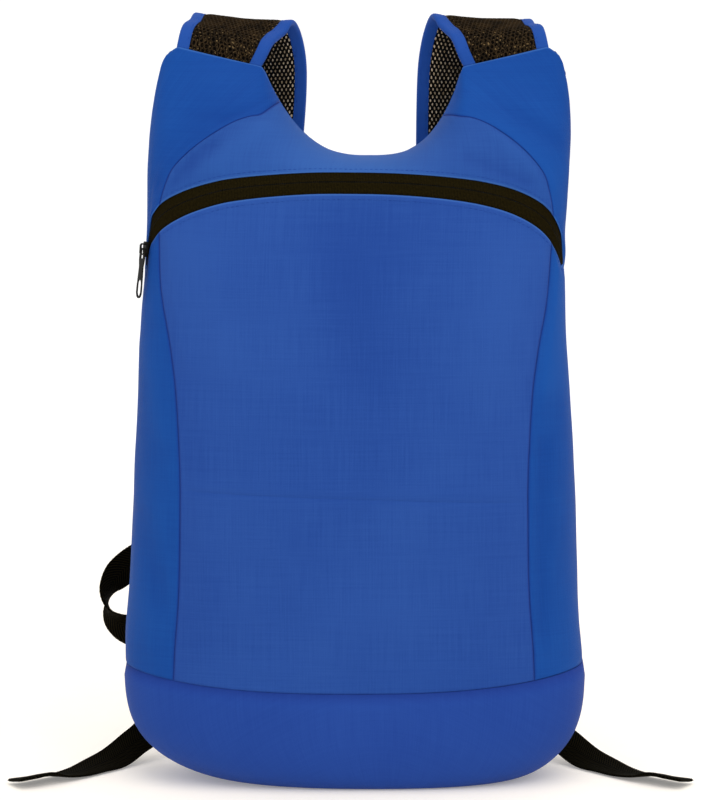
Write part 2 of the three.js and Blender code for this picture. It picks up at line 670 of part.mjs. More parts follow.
// The slider's frame: x across it, y down the cloth, z out of the cloth
function sliderFrame() {
  const angle = 180 - SLIDER_ANGLE;
  const { point, outward } = skinSpot(angle, zipLine(angle));
  const down = new THREE.Vector3(0, 0, -1);
  const along = down.addScaledVector(outward, -down.dot(outward)).normalize();
  const across = new THREE.Vector3().crossVectors(along, outward);
  return { point, outward, turn: new THREE.Matrix4().makeBasis(across, along, outward) };
}

const SLIDER_FLOOR = COIL.rise + SLIDER.clear;
const HINGE_LIFT = SLIDER_FLOOR + SLIDER.thick + BRIDGE.opening / 2;

function zipSlider() {
  const { point, turn } = sliderFrame();
  const side = SLIDER.width / 2;
  const end = SLIDER.length / 2;
  const body = new THREE.Shape();
  body.moveTo(-SLIDER.nose / 2, end);
  body.lineTo(-side, end / 3);
  body.quadraticCurveTo(-side, -end, -SLIDER.nose / 2, -end);
  body.lineTo(SLIDER.nose / 2, -end);
  body.quadraticCurveTo(side, -end, side, end / 3);
  body.lineTo(SLIDER.nose / 2, end);
  body.closePath();
  const base = plate(body, SLIDER.thick).translate(0, 0, SLIDER.thick / 2);
  const reach = BRIDGE.length / 2;
  const outerTop = BRIDGE.opening + BRIDGE.bar;
  const sunk = -SLIDER.thick / 2;
  const arch = new THREE.Shape();
  arch.moveTo(-reach, sunk);
  arch.lineTo(-reach, outerTop - 1);
  arch.lineTo(-reach + 1, outerTop);
  arch.lineTo(reach - 1, outerTop);
  arch.lineTo(reach, outerTop - 1);
  arch.lineTo(reach, sunk);
  arch.lineTo(reach - BRIDGE.bar, sunk);
  arch.lineTo(reach - BRIDGE.bar, BRIDGE.opening);
  arch.lineTo(-reach + BRIDGE.bar, BRIDGE.opening);
  arch.lineTo(-reach + BRIDGE.bar, sunk);
  arch.closePath();
  const bridge = plate(arch, BRIDGE.width).rotateX(Math.PI / 2).rotateZ(Math.PI / 2);
  bridge.translate(0, 0, SLIDER.thick);
  const slider = addPart("zip_slider", fromSolid(toSolid(base).add(toSolid(bridge))), BLACK_METAL);
  slider.geometry.translate(0, 0, SLIDER_FLOOR);
  slider.setRotationFromMatrix(turn);
  slider.position.copy(point);
}

// The pull hangs from the bridge: its top bar lies in the opening, and it slants a little outward
function zipPull() {
  const { point, outward, turn } = sliderFrame();
  const top = PULL.bar / 2;
  const slotTop = -top;
  const slotEnd = slotTop - PULL_SLOT.length;
  const tip = top - PULL.length;
  const wide = PULL.width / 2;
  const neck = PULL.neck / 2;
  const shape = new THREE.Shape();
  shape.moveTo(-wide + 1, top);
  shape.lineTo(-wide, top - 1);
  shape.lineTo(-wide, slotEnd - 1);
  shape.lineTo(-neck, slotEnd - 5);
  shape.lineTo(-wide, tip + 6);
  shape.absarc(0, tip + wide, wide, Math.PI, 2 * Math.PI, false);
  shape.lineTo(neck, slotEnd - 5);
  shape.lineTo(wide, slotEnd - 1);
  shape.lineTo(wide, top - 1);
  shape.lineTo(wide - 1, top);
  shape.closePath();
  const slot = new THREE.Path();
  slot.moveTo(-PULL_SLOT.width / 2, slotTop);
  slot.lineTo(-PULL_SLOT.width / 2, slotEnd);
  slot.lineTo(PULL_SLOT.width / 2, slotEnd);
  slot.lineTo(PULL_SLOT.width / 2, slotTop);
  slot.closePath();
  const hole = new THREE.Path();
  const radius = PULL_HOLE.width / 2;
  const low = tip + PULL_HOLE.rim + radius;
  const high = low + PULL_HOLE.length - PULL_HOLE.width;
  hole.absarc(0, high, radius, 0, Math.PI, false);
  hole.absarc(0, low, radius, Math.PI, 2 * Math.PI, false);
  hole.closePath();
  shape.holes.push(slot, hole);
  const pull = addPart("zip_pull", plate(shape, PULL.thick).rotateZ(Math.PI), BLACK_METAL);
  const slant = new THREE.Matrix4().makeRotationX(radians(PULL.slant));
  pull.setRotationFromMatrix(turn.multiply(slant));
  pull.position.copy(point).addScaledVector(outward, HINGE_LIFT);
}

// Straps

function strapStations(sign) {
  const points = STRAP_ROWS.map(({ x, y, z }) => new THREE.Vector3(x, y, z));
  const widths = STRAP_ROWS.map(({ tilt, roll }) => {
    const turn = radians(tilt - sign * roll);
    return new THREE.Vector3(Math.cos(turn), 0, Math.sin(turn));
  });
  const sizes = STRAP_ROWS.map(({ width, thick }) => new THREE.Vector3(width, thick, 0));
  return stationsAlong(points, widths, sizes, STRAP_STEPS);
}

// The straps' ends are mirror images
const STRAP_END = strapStations(1).at(-1);

// The pad's outline, with points under the lips of its bindings
function padOutline({ width, thick }) {
  const edge = width / 2 - BINDING.gap - BINDING.thick;
  const lip = width / 2 - BINDING.width;
  const across = [-edge, -lip, lip, edge];
  const under = across.map((a) => [a, -thick / 2]);
  const over = across.map((a) => [a, thick / 2]).reverse();
  return [...under, ...over];
}

function strap({ name, sign }) {
  const stations = strapStations(sign);
  const pad = stations.map((station) => ({ ...station, outline: padOutline(station) }));
  addSidePart(`strap_mesh_${name}`, sweep(pad), BLACK_MESH, sign);
  for (const [place, reach] of [["outer", 1], ["inner", -1]]) {
    const channel = stations.slice(BINDING.first).map((station) => {
      const outside = station.width / 2;
      const fold = outside - BINDING.thick;
      const lip = outside - BINDING.width;
      const inside = station.thick / 2 + BINDING.gap;
      const skinned = inside + BINDING.thick;
      const outline = [
        [lip, inside],
        [fold, inside],
        [fold, -inside],
        [lip, -inside],
        [lip, -skinned],
        [outside, -skinned],
        [outside, skinned],
        [lip, skinned],
      ].map(([a, n]) => [reach * a, n]);
      return { ...station, outline };
    });
    addSidePart(`strap_binding_${name}_${place}`, sweep(channel), BLUE_BINDING, sign);
  }
}

// A point in the frame of the strap's end: down past it, and out from its face
const endPoint = (down, out) =>
  STRAP_END.origin.clone().addScaledVector(STRAP_END.along, down).addScaledVector(STRAP_END.normal, out);

// The webbing loop that laps over the strap's end and holds the adjuster's top bar
function strapTab({ name, sign }) {
  const line = [[-TAB.lap, TAB.half], [-TAB.lap / 2, TAB.half], [0, TAB.half]];
  for (let step = 0; step <= 6; step += 1) {
    const turn = (Math.PI * step) / 6;
    line.push([TAB.drop + TAB.half * Math.sin(turn), TAB.half * Math.cos(turn)]);
  }
  line.push([0, -TAB.half], [-TAB.lap / 2, -TAB.half], [-TAB.lap, -TAB.half]);
  const stations = line.map(([down, out], index) => {
    const before = line[Math.max(index - 1, 0)];
    const after = line[Math.min(index + 1, line.length - 1)];
    const along = endPoint(...after).sub(endPoint(...before)).normalize();
    const normal = new THREE.Vector3().crossVectors(STRAP_END.across, along);
    const outline = bar(WEBBING.width, WEBBING.thick);
    return { origin: endPoint(down, out), across: STRAP_END.across, normal, outline };
  });
  addSidePart(`strap_tab_${name}`, sweep(stations), BLACK_WEBBING, sign);
}

function rectangle(path, halfWidth, from, to) {
  path.moveTo(-halfWidth, from);
  path.lineTo(halfWidth, from);
  path.lineTo(halfWidth, to);
  path.lineTo(-halfWidth, to);
  path.closePath();
  return path;
}

function ladderLock({ name, sign }) {
  const shape = rectangle(new THREE.Shape(), LOCK.halfWidth, LOCK.from, LOCK.to);
  for (const { from, to } of LOCK_SLOTS) {
    shape.holes.push(rectangle(new THREE.Path(), LOCK.slot, from, to));
  }
  const { origin, across, along, normal } = STRAP_END;
  const place = new THREE.Matrix4().makeBasis(across, along, normal).setPosition(origin);
  const geometry = mergeVertices(plate(shape, LOCK.thick)).applyMatrix4(place);
  addSidePart(`ladder_lock_${name}`, geometry, BLACK_PLASTIC, sign);
}

// Webbing

// The half turn over the adjuster's lowest bar, on its inner (-1) or outer (1) face, rows from its middle
function barTurn(face) {
  const rows = [];
  for (const step of [0.12, 0.55, 1]) {
    const turn = (Math.PI / 2) * step;
    const down = LOCK_BAR - TAB.half * Math.cos(turn);
    rows.push(endPoint(down, face * TAB.half * Math.sin(turn)));
  }
  rows.push(endPoint(LOCK_BAR + 6, face * TAB.half));
  return rows;
}

function webbing(nodeName, sign, route, face, toLock, folded) {
  const turn = barTurn(face);
  const routePoints = route.map(({ x, y, z }) => new THREE.Vector3(x, y, z));
  const routeWidths = route.map(({ wx, wy, wz }) => new THREE.Vector3(wx, wy, wz));
  const turnWidths = turn.map(() => STRAP_END.across.clone());
  const points = toLock ? [...routePoints, ...turn.reverse()] : [...turn, ...routePoints];
  const widths = toLock ? [...routeWidths, ...turnWidths] : [...turnWidths, ...routeWidths];
  const sizes = points.map(() => new THREE.Vector3(WEBBING.width, WEBBING.thick, 0));
  const stations = stationsAlong(points, widths, sizes, WEBBING_STEPS);
  const last = stations[stations.length - 1].origin;
  const outlined = stations.map((station) => {
    const atEnd = folded && station.origin.distanceTo(last) < WEBBING.end;
    const thick = atEnd ? WEBBING.endThick : WEBBING.thick;
    return { ...station, outline: bar(station.width, thick) };
  });
  addSidePart(nodeName, sweep(outlined), BLACK_WEBBING, sign);
}

function webbings({ name, sign }) {
  const outerFace = Math.sign(STRAP_END.normal.y);
  const route = sign < 0 ? LOOP_ROUTE : STRAIGHT_ROUTE;
  webbing(`webbing_${name}`, sign, route, -outerFace, true, false);
  const tail = TAIL_ROUTE.map((row) => ({ ...row, x: row.x + TAIL_SHIFT[name] }));
  webbing(`webbing_tail_${name}`, sign, tail, outerFace, false, true);
}

frontPanel();
bottomPanel();
backPanel();
topYoke();
zipper();
zipSlider();
zipPull();
for (const side of SIDES) {
  sidePanel(side);
  shoulderPanel(side);
  strap(side);
  strapTab(side);
  ladderLock(side);
  webbings(side);
}

export default backpack;
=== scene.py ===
"""A soft blue sports backpack: cloth panels, an arched zipper, net straps and black webbing.

Sizes are in millimetres until a mesh is made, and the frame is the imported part's own: +Z up, front to -Y.
"""

import math
from types import SimpleNamespace as Sizes

import bmesh
import bpy
import numpy as np
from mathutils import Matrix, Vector
from mathutils.bvhtree import BVHTree


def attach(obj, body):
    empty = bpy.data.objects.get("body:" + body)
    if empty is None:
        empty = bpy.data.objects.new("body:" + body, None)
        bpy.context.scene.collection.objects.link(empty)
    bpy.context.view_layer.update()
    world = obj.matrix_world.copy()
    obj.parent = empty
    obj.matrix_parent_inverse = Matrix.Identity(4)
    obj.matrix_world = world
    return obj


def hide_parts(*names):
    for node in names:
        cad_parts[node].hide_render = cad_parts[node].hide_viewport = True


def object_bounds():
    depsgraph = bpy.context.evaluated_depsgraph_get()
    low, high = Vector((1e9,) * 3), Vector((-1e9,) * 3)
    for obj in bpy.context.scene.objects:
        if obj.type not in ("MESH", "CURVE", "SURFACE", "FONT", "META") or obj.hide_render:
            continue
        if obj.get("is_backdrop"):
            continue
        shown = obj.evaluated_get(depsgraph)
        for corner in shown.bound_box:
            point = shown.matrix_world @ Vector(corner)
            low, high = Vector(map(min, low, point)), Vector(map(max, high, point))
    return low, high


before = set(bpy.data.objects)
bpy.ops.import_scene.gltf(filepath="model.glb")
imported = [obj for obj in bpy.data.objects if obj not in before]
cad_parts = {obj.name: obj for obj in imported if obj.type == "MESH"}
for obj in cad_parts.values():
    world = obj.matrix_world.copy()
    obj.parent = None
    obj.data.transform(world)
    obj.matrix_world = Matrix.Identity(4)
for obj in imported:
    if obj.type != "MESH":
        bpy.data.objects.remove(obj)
CAD_BOUNDS = [list(corner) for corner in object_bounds()]

MM = 0.001
BAG = "bag"
SIDES = (("left", -1), ("right", 1))

# Camera: the photograph's view, from a little above the front
VIEW = Sizes(target=(1.8, 0.0, 229.0), distance=2400.0, rise_deg=7.0, lens=180.0, sensor=36.0)

# Routes of the webbing on the right-hand side: middle line (x, y, z) and direction of its width
ROUTE_COLUMNS = ("x", "y", "z", "wx", "wy", "wz")
LOOP_ROUTE = [
    (121.3, 40.8, 78, 0, 0, 1),
    (137, 48.3, 79.8, -0.08, -0.18, 0.98),
    (144, 48.5, 83.5, -0.25, -0.45, 0.85),
    (149.2, 47.5, 89.5, -0.25, -0.75, 0.6),
    (152, 46.5, 97.5, 0.05, -0.95, 0.3),
    (150.8, 46.5, 106.5, 0.45, -0.8, 0.4),
    (145.5, 48.3, 114.5, 0.62, -0.4, 0.68),
    (137.5, 51, 121, 0.6, -0.1, 0.8),
    (123, 56, 129.5, 0.62, 0, 0.78),
    (110.5, 60, 138, 0.8, 0, 0.6),
]
STRAIGHT_ROUTE = [
    (121.3, 40.8, 78, 0, 0, 1),
    (124.3, 46.6, 78.6, 0.25, -0.12, 0.96),
    (124.3, 52.6, 82, 0.62, -0.1, 0.75),
    (121.8, 56.6, 90, 0.85, 0, 0.5),
    (117.5, 58.4, 106, 0.92, 0, 0.38),
    (112, 59, 127, 0.93, 0, 0.35),
]
TAIL_SHIFT = {"left": 0.0, "right": -4.2}
TAIL_ROUTE = [
    (107, 68, 132, 1, 0, 0),
    (115, 66.5, 62, 0.93, 0.25, 0.35),
    (120.5, 60.5, 38, 0.87, 0.3, 0.5),
    (125.8, 53.4, 18.4, 0.78, 0.41, 0.59),
    (137.3, 38.9, 10, 0.67, 0.56, 0.49),
    (147, 23.6, 5.1, 0.6, 0.64, 0.4),
    (157.5, 10.8, 3.1, 0.6, 0.73, 0.21),
    (167.3, -1.2, 1.7, 0.6, 0.78, 0.05),
    (176.8, -12, 2.1, 0.58, 0.79, -0.09),
    (186.2, -20.6, 4.2, 0.54, 0.77, -0.24),
    (194.3, -28, 4.1, 0.52, 0.76, -0.22),
    (203.5, -33.2, 3.7, 0.48, 0.83, -0.18),
]

# Cloth and its seams
CLOTH = Sizes(
    thick=1.2, roll=0.5, roll_width=1.6, pucker=0.28, pucker_reach=7.0, pucker_length=11.0,
    seam_shade=0.85, base_ease=0.6, fold_at=0.5, fold_shade=0.5,
)
FRONT_ROUND = 2.6
BACK_ROUND = 3.4
LEAN = Sizes(start=290.0, end=440.0, shift=5.2)
BASE = Sizes(
    half_width=81.2, front=40.4, back=44.0, round=2.3, spread=1.8, climb=2.87, proud=1.4,
    floor_shift=11.5, seam_shift=0.5, pinch=0.2, pinch_width=4.5,
)
BASE_BLANK = Sizes(flat=(0.36, 0.25), area=0.064)
BOTTOM_SEAM = Sizes(side=71.0, dip=11.0)
ZIP = Sizes(half=6.2, spread=3.0)
ZIP_TAPER = Sizes(right=(4.0, 12.0), left=(5.0, 9.5), margin=0.7)
BACK_SEAM = Sizes(inset=16.0, top_share=0.985)
NECK = Sizes(low=374.0, corner=428.0, share=0.492, power=2.8, soften=2.0, inner_soften=36.0, skew=0.055)
SHOULDER = Sizes(top=439.5, share=0.955, corner_drop=5.5)
TOP_EDGE = Sizes(depth=24.5, puff=5.0, bend=1.5)
LEAF_GAP = Sizes(neck=2.0, strap=5.0, edge=2.4)
CREASE = Sizes(height=176.5, slope=0.035, depth=0.8, width=1.3, spread=7.0, rows=30)

# Soft folds seen from the front: ends, width, and how far they stand out; that rise also sets painted light
# on ridges and painted shade in dents
FOLD_COLUMNS = ("x0", "z0", "x1", "z1", "width", "rise")
FOLDS = [
    (-77, 397, -34, 412, 5, -0.9),
    (-92, 404, -72, 436, 12, -0.8),
    (-112, 396, -100, 428, 6, 0.6),
    (58, 402, 75, 419, 4.5, 1.1),
    (84, 410, 122, 384, 6, -0.8),
    (96, 425, 118, 404, 8, 0.7),
    (-114, 358, -84, 383, 5, -1.0),
    (-84, 371, -54, 392, 6, 0.8),
    (84, 391, 117, 359, 5, 0.8),
    (68, 375, 101, 361, 5, -0.8),
    (-96, 318, -84, 268, 20, 1.0),
    (92, 312, 84, 250, 20, 1.0),
    (-8, 330, 4, 262, 26, -0.9),
    (121, 318, 114, 244, 9, 1.1),
    (112, 205, 110, 92, 6, -0.8),
    (-127, 164, -116, 112, 7, -0.7),
    (-121, 262, -115, 214, 6, 0.6),
]

# The yoke's middle is painted paler: a painted highlight where it tilts up towards the light
YOKE_PAINTED_LIGHT = Sizes(share=0.7, middle=4.0, width=46.0)

# Zipper band
TAPE = Sizes(
    tuck=2.0, sink=1.9, rest=0.75, thick=0.6, bead=0.45, bead_width=2.6, bead_at=0.9, slot=0.25,
    flat=14.0, mean=9.2,
)
RIB = Sizes(pitch=1.15, length=0.62, width=3.4, height=0.7, lift=-0.62, share=0.12)
TOPSTITCH = Sizes(pitch=3.0, length=2.2, width=0.42, height=0.34, below=3.3, above=2.5, lift=0.05)

# Straps
STRAP_COLUMNS = ("x", "y", "z", "tilt", "roll", "width", "thick")
STRAP_ROWS = [
    (87.8, 24.5, 425.4, 13.3, 0, 51, 1.6),
    (86.1, 24.4, 433.6, 13.1, 0, 52.2, 1.8),
    (82.9, 28.6, 442.5, 9, 1.5, 54.8, 3.4),
    (78.2, 40, 448.7, 2.4, 3.7, 56, 3.8),
    (72.8, 55, 452.5, 2.1, 4, 62, 4),
    (68.9, 65, 445.8, 1.3, 5, 62, 4),
    (65.8, 76, 419, 0.8, 2.7, 64, 4),
    (72, 88, 298, -3, 0, 59, 4),
    (86, 81, 232, -6, 0, 49, 4),
    (98, 68, 180, -4, 0, 38, 3),
]
PAD_SINK = 0.3
NET = Sizes(across=2.6, along=2.3, crown=0.35, wall=0.55, lift=0.75, under=5.0, flat=52.0)
NET_HOLE = {"outside": Sizes(share=0.82, narrow=0.82), "inside": Sizes(share=0.68, narrow=0.54)}
BINDING = Sizes(
    width=7.4, thick=0.7, gap=0.25, start=0.06, pinch=0.6, stitch_inset=1.5, press=0.28, press_width=0.8,
    wave=0.16, wave_length=9.5, uneven=0.12, blank=18.8,
)
BINDING_STITCH = Sizes(pitch=2.9, length=2.1, width=0.42, height=0.36)
WEBBING = Sizes(
    width=20.0, thick=1.4, rib=1.9, rib_depth=0.15, slant=0.45, edge=0.12, fold=24.0, fold_thick=2.1,
)
TAIL_STITCH = Sizes(pitch=1.9, length=1.5, width=0.45, height=0.4, rows=(2.5, 5.5), reach=8.0)
TAB = Sizes(lap=14.0, drop=8.0, half=2.9)
LOCK_BAR = 27.0

# Floor under the bag, in metres: a painted warm shadow tint near the bag fades to white further out
FLOOR = Sizes(reach=60.0, drop=0.0004, warm=0.5, white=1.8)


class Table:
    """A short table with named columns, read smoothly between its rows."""

    def __init__(self, columns, rows):
        self.values = {name: np.array(column, float) for name, column in zip(columns, zip(*rows))}
        self.keys = self.values[columns[0]]

    def __call__(self, column, at):
        keys, values = self.keys, self.values[column]
        last = len(keys) - 1
        low = np.maximum(np.arange(last + 1) - 1, 0)
        high = np.minimum(np.arange(last + 1) + 1, last)
        slopes = (values[high] - values[low]) / (keys[high] - keys[low])
        place = np.clip(at, keys[0], keys[-1])
        row = np.clip(np.searchsorted(keys, place, side="left") - 1, 0, last - 1)
        span = keys[row + 1] - keys[row]
        share = (place - keys[row]) / span
        square, cube = share**2, share**3
        return (
            (2 * cube - 3 * square + 1) * values[row]
            + (cube - 2 * square + share) * span * slopes[row]
            + (3 * square - 2 * cube) * values[row + 1]
            + (cube - square) * span * slopes[row + 1]
        )


BODY = Table(
    ("height", "half_width", "edge", "front", "back"),
    [
        (0, 138, 0, 53, 51),
        (80, 137.8, 0, 54.5, 52.5),
        (120, 135.3, 0, 55, 53),
        (170, 133.2, 0, 55, 53),
        (230, 130, 0, 51, 49),
        (290, 125.6, 0, 43.5, 42),
        (325, 124.9, 1, 36.5, 36),
        (350, 125.4, 4.5, 32, 30),
        (370, 126.3, 8.5, 29, 24),
        (391, 126.2, 14, 27, 16),
        (409, 124.5, 18.5, 26, 9),
        (421, 122.4, 21.3, 26, 5),
        (431, 119.6, 23.3, 26, 2.5),
        (440, 114.8, 24.5, 26, 2),
    ],
)
ZIP_LINE = Table(
    ("angle", "height"),
    [(-40, 298), (-10, 301.5), (0, 307), (6, 313), (10, 318), (14, 322.8), (21.9, 331), (25.8, 335),
     (33.3, 341), (44.4, 347.9), (53.2, 352.2), (64, 356.1), (78.3, 359.4), (90, 360.9), (100.5, 360.5),
     (120.8, 356.6), (132.4, 352.2), (142, 347.6), (155, 340.2), (161.6, 334.8), (166, 330.5),
     (169.3, 320.5), (174, 312.5), (180, 306.5), (190, 301.5), (220, 298)],
)
FRONT_SEAM = Table(
    ("rise", "share"),
    [(0, 0.779), (0.19, 0.769), (0.4, 0.775), (0.51, 0.79), (0.63, 0.817), (0.72, 0.852), (0.86, 0.913),
     (1, 0.935)],
)
SHOULDER_SEAM = Table(
    ("rise", "share"),
    [(0, 0.935), (0.05, 0.925), (0.11, 0.905), (0.17, 0.878), (0.23, 0.822), (0.3, 0.748), (0.37, 0.672),
     (0.44, 0.6), (0.5, 0.537), (0.57, 0.482), (0.7, 0.44), (0.85, 0.41), (1, 0.39)],
)


# Small maths


def mix(low, high, share):
    return low + (high - low) * share


def ease(value, start, end):
    share = np.clip((value - start) / (end - start), 0, 1)
    return share * share * (3 - 2 * share)


def unit(vectors):
    return vectors / np.maximum(np.linalg.norm(vectors, axis=-1, keepdims=True), 1e-9)


def soft_noise(x, y, seed):
    """Smooth noise between about -1 and 1, with dents about one unit apart."""
    lattice = np.random.default_rng(seed).uniform(-1, 1, (64, 64))
    column, row = np.floor(x).astype(int), np.floor(y).astype(int)
    right, up = ease(x - column, 0, 1), ease(y - row, 0, 1)
    corner = lambda i, j: lattice[(row + j) % 64, (column + i) % 64]
    low = mix(corner(0, 0), corner(1, 0), right)
    high = mix(corner(0, 1), corner(1, 1), right)
    return mix(low, high, up)


# The body's surface: an angle of 0 is the right edge, 90 the front, 180 the left edge, 270 the back


def around(angle, bend=None):
    """Signed share of the half width, share of the depth, and whether the angle is in front."""
    cosine, sine = np.cos(np.radians(angle)), np.sin(np.radians(angle))
    front = sine >= 0
    bend = np.where(front, FRONT_ROUND, BACK_ROUND) if bend is None else bend
    share = np.sign(cosine) * np.abs(cosine) ** (2 / bend)
    return share, np.abs(sine) ** (2 / bend), front


def front_angle(share):
    """The angle in front at which the body reaches a signed share of its half width."""
    turn = np.degrees(np.arccos(np.abs(share) ** (FRONT_ROUND / 2)))
    return np.where(share >= 0, turn, 180 - turn)


def back_angle(share):
    turn = np.degrees(np.arccos(np.abs(share) ** (BACK_ROUND / 2)))
    return np.where(share >= 0, -turn, turn - 180)


def lean(height):
    return LEAN.shift * ease(height, LEAN.start, LEAN.end)


def frontness(angle):
    return np.maximum(0, np.sin(np.radians(angle)))


def bottom_seam(angle):
    return BOTTOM_SEAM.side - BOTTOM_SEAM.dip * frontness(angle) ** 2


def same_turn(angle):
    """An angle between the back's middle at -90 and the same line at 270."""
    return np.mod(np.asarray(angle) + 90, 360) - 90


def zip_line(angle):
    return ZIP_LINE("height", same_turn(angle))


def zip_half(angle):
    turn = same_turn(angle)
    right, left = ease(turn, *ZIP_TAPER.right), ease(180 - turn, *ZIP_TAPER.left)
    return (ZIP.half + ZIP.spread * (1 - frontness(angle))) * np.minimum(right, left)


def skin(angle, height):
    """Cloth between the bottom seam and the zipper."""
    share, out, front = around(angle)
    depth = np.where(front, -BODY("front", height), BODY("back", height))
    across = share * BODY("half_width", height) + lean(height)
    return np.stack(np.broadcast_arrays(across, BODY("edge", height) + depth * out, height), -1)


def top_height(share, rise=1.0):
    """The lower of the neckline and the shoulder line; their corner fades away below the top edge."""
    across = np.abs(share)
    aside = np.abs(share - NECK.skew * np.maximum(0, 1 - (across / NECK.share) ** 2))
    neckline = NECK.low + (NECK.corner - NECK.low) * (aside / NECK.share) ** NECK.power
    along = (across - NECK.share) / (SHOULDER.share - NECK.share)
    corner = np.maximum(0, (across - SHOULDER.share) / (1 - SHOULDER.share))
    shoulder = mix(NECK.corner, SHOULDER.top, np.minimum(1, along)) - SHOULDER.corner_drop * corner**2
    soften = mix(NECK.inner_soften, NECK.soften, rise)
    return 0.5 * (neckline + shoulder - np.hypot(neckline - shoulder, soften))


def leaf_gap(share):
    across = np.abs(share)
    to_strap = mix(LEAF_GAP.neck, LEAF_GAP.strap, ease(across, 0.4, 0.5))
    return mix(to_strap, LEAF_GAP.edge, ease(across, 0.93, 1))


def crown(angle, rise):
    """Cloth above the zipper in front and above its ends behind; rise is 0 there and 1 at the top edge."""
    share, out, front = around(angle)
    start = zip_line(angle) + zip_half(angle)
    puff = np.where(front, TOP_EDGE.puff * out * 4 * rise * (1 - rise), 0)
    height = mix(start, top_height(share, rise), rise) + puff
    depth = np.where(front, -BODY("front", start), BODY("back", height))
    leaf = np.where(front, -0.5, 0.5) * leaf_gap(share)
    deep = mix(BODY("edge", height) + depth * out, TOP_EDGE.depth + leaf, rise**TOP_EDGE.bend)
    return np.stack([share * BODY("half_width", height) + lean(height), deep, height], -1)


def tub(angle, turn):
    """The base, from the edge of its flat middle (turn 0) to the bottom seam (turn 1)."""
    quarter = turn * math.pi / 2
    grow = np.sin(quarter) ** (2 / BASE.spread)
    climb = 1 - np.maximum(0, np.cos(quarter)) ** (2 / BASE.climb)
    seam = bottom_seam(angle)
    facing = np.where(around(angle)[2], FRONT_ROUND, BACK_ROUND)
    share, out, front = around(angle, mix(BASE.round, facing, grow))
    ahead = -mix(BASE.front, BODY("front", seam) + BASE.proud, grow)
    behind = mix(BASE.back, BODY("back", seam) + BASE.proud, grow)
    width = mix(BASE.half_width, BODY("half_width", seam) + BASE.proud, grow)
    across = share * width + mix(BASE.floor_shift, BASE.seam_shift, grow)
    return np.stack([across, np.where(front, ahead, behind) * out, seam * climb], -1)


def soft_folds(points):
    """How far the folds of the front lift each point."""
    lift = np.zeros(points.shape[:-1])
    flat = points[..., [0, 2]]
    for row in FOLDS:
        fold = Sizes(**dict(zip(FOLD_COLUMNS, row)))
        start, run = np.array([fold.x0, fold.z0]), np.array([fold.x1 - fold.x0, fold.z1 - fold.z0])
        share = np.clip(((flat - start) @ run) / (run @ run), 0, 1)
        away = np.linalg.norm(flat - start - share[..., None] * run, axis=-1)
        lift += fold.rise * np.exp(-((away / fold.width) ** 2))
    return lift * ease(-points[..., 1], -14, 2)


# Meshes from arrays


def linked(name, data):
    made = bpy.data.objects.new(name, data)
    bpy.context.scene.collection.objects.link(made)
    return made


def finished(raw, name):
    """A plain piece of what an object's modifiers make of it."""
    graph = bpy.context.evaluated_depsgraph_get()
    mesh = bpy.data.meshes.new_from_object(raw.evaluated_get(graph))
    bpy.data.objects.remove(raw)
    mesh.name = name
    return linked(name, mesh)


def dress(piece, node, body=BAG):
    """Rides a piece on its body in place of a CAD node."""
    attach(piece, body)
    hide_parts(node)


def signed_volume(points, faces):
    """Six times the volume inside faces of three or four corners."""
    corners = points[faces]
    total = np.einsum("ij,ij->i", corners[:, 0], np.cross(corners[:, 1], corners[:, 2])).sum()
    if faces.shape[1] == 4:
        total += np.einsum("ij,ij->i", corners[:, 0], np.cross(corners[:, 2], corners[:, 3])).sum()
    return total


def make_piece(name, points, faces, material, weave=None, marks=None, weld=False, face_lists=()):
    """A mesh object from points in millimetres. weave is a flat place on the cloth for each point."""
    if signed_volume(points, faces) < 0:
        faces = faces[:, ::-1]
        face_lists = [face[::-1] for face in face_lists]
    mesh = bpy.data.meshes.new(name)
    mesh.from_pydata((points * MM).tolist(), [], [*faces.tolist(), *face_lists])
    if weave is not None:
        corner = np.zeros(len(mesh.loops), np.int32)
        mesh.loops.foreach_get("vertex_index", corner)
        mesh.uv_layers.new(name="weave").data.foreach_set("uv", weave[corner].astype(np.float32).ravel())
    for mark, values in (marks or {}).items():
        mesh.attributes.new(mark, "FLOAT", "POINT").data.foreach_set("value", values.astype(np.float32))
    if weld:
        work = bmesh.new()
        work.from_mesh(mesh)
        bmesh.ops.remove_doubles(work, verts=work.verts, dist=1e-6)
        work.to_mesh(mesh)
        work.free()
    mesh.polygons.foreach_set("use_smooth", np.ones(len(mesh.polygons), bool))
    mesh.materials.append(material)
    return linked(name, mesh)


def grid_faces(rows, columns, start=0):
    index = np.arange(rows * columns).reshape(rows, columns) + start
    low, high = index[:-1], index[1:]
    return np.stack([low[:, :-1], high[:, :-1], high[:, 1:], low[:, 1:]], -1).reshape(-1, 4)


def shell(name, grid, normal, thick, weave, marks, material, wraps=False):
    """A closed thin wall under a grid of points."""
    rows, columns = grid.shape[:2]
    count = rows * columns
    points = np.concatenate([grid.reshape(-1, 3), (grid - normal * thick).reshape(-1, 3)])
    outer = grid_faces(rows, columns)
    inner = grid_faces(rows, columns, count)[:, ::-1]
    index = np.arange(count).reshape(rows, columns)
    rims = [index[-1]] if wraps else [index[0][::-1], index[-1], index[:, 0], index[:, -1][::-1]]
    walls = [np.stack([rim[:-1], rim[:-1] + count, rim[1:] + count, rim[1:]], -1) for rim in rims]
    faces = np.concatenate([outer, inner, *walls])
    both = {mark: np.tile(values, 2) for mark, values in marks.items()}
    return make_piece(name, points, faces, material, np.tile(weave, (2, 1)), both, wraps)


def lengths_along(grid, axis):
    """How far each point of a grid lies along its row or column."""
    steps = np.linalg.norm(np.diff(grid, axis=axis), axis=-1)
    start = np.zeros_like(np.take(steps, [0], axis=axis))
    return np.concatenate([start, np.cumsum(steps, axis=axis)], axis=axis)


def grid_normals(grid):
    along_rows, along_columns = np.gradient(grid, axis=0), np.gradient(grid, axis=1)
    return unit(np.cross(along_rows, along_columns))


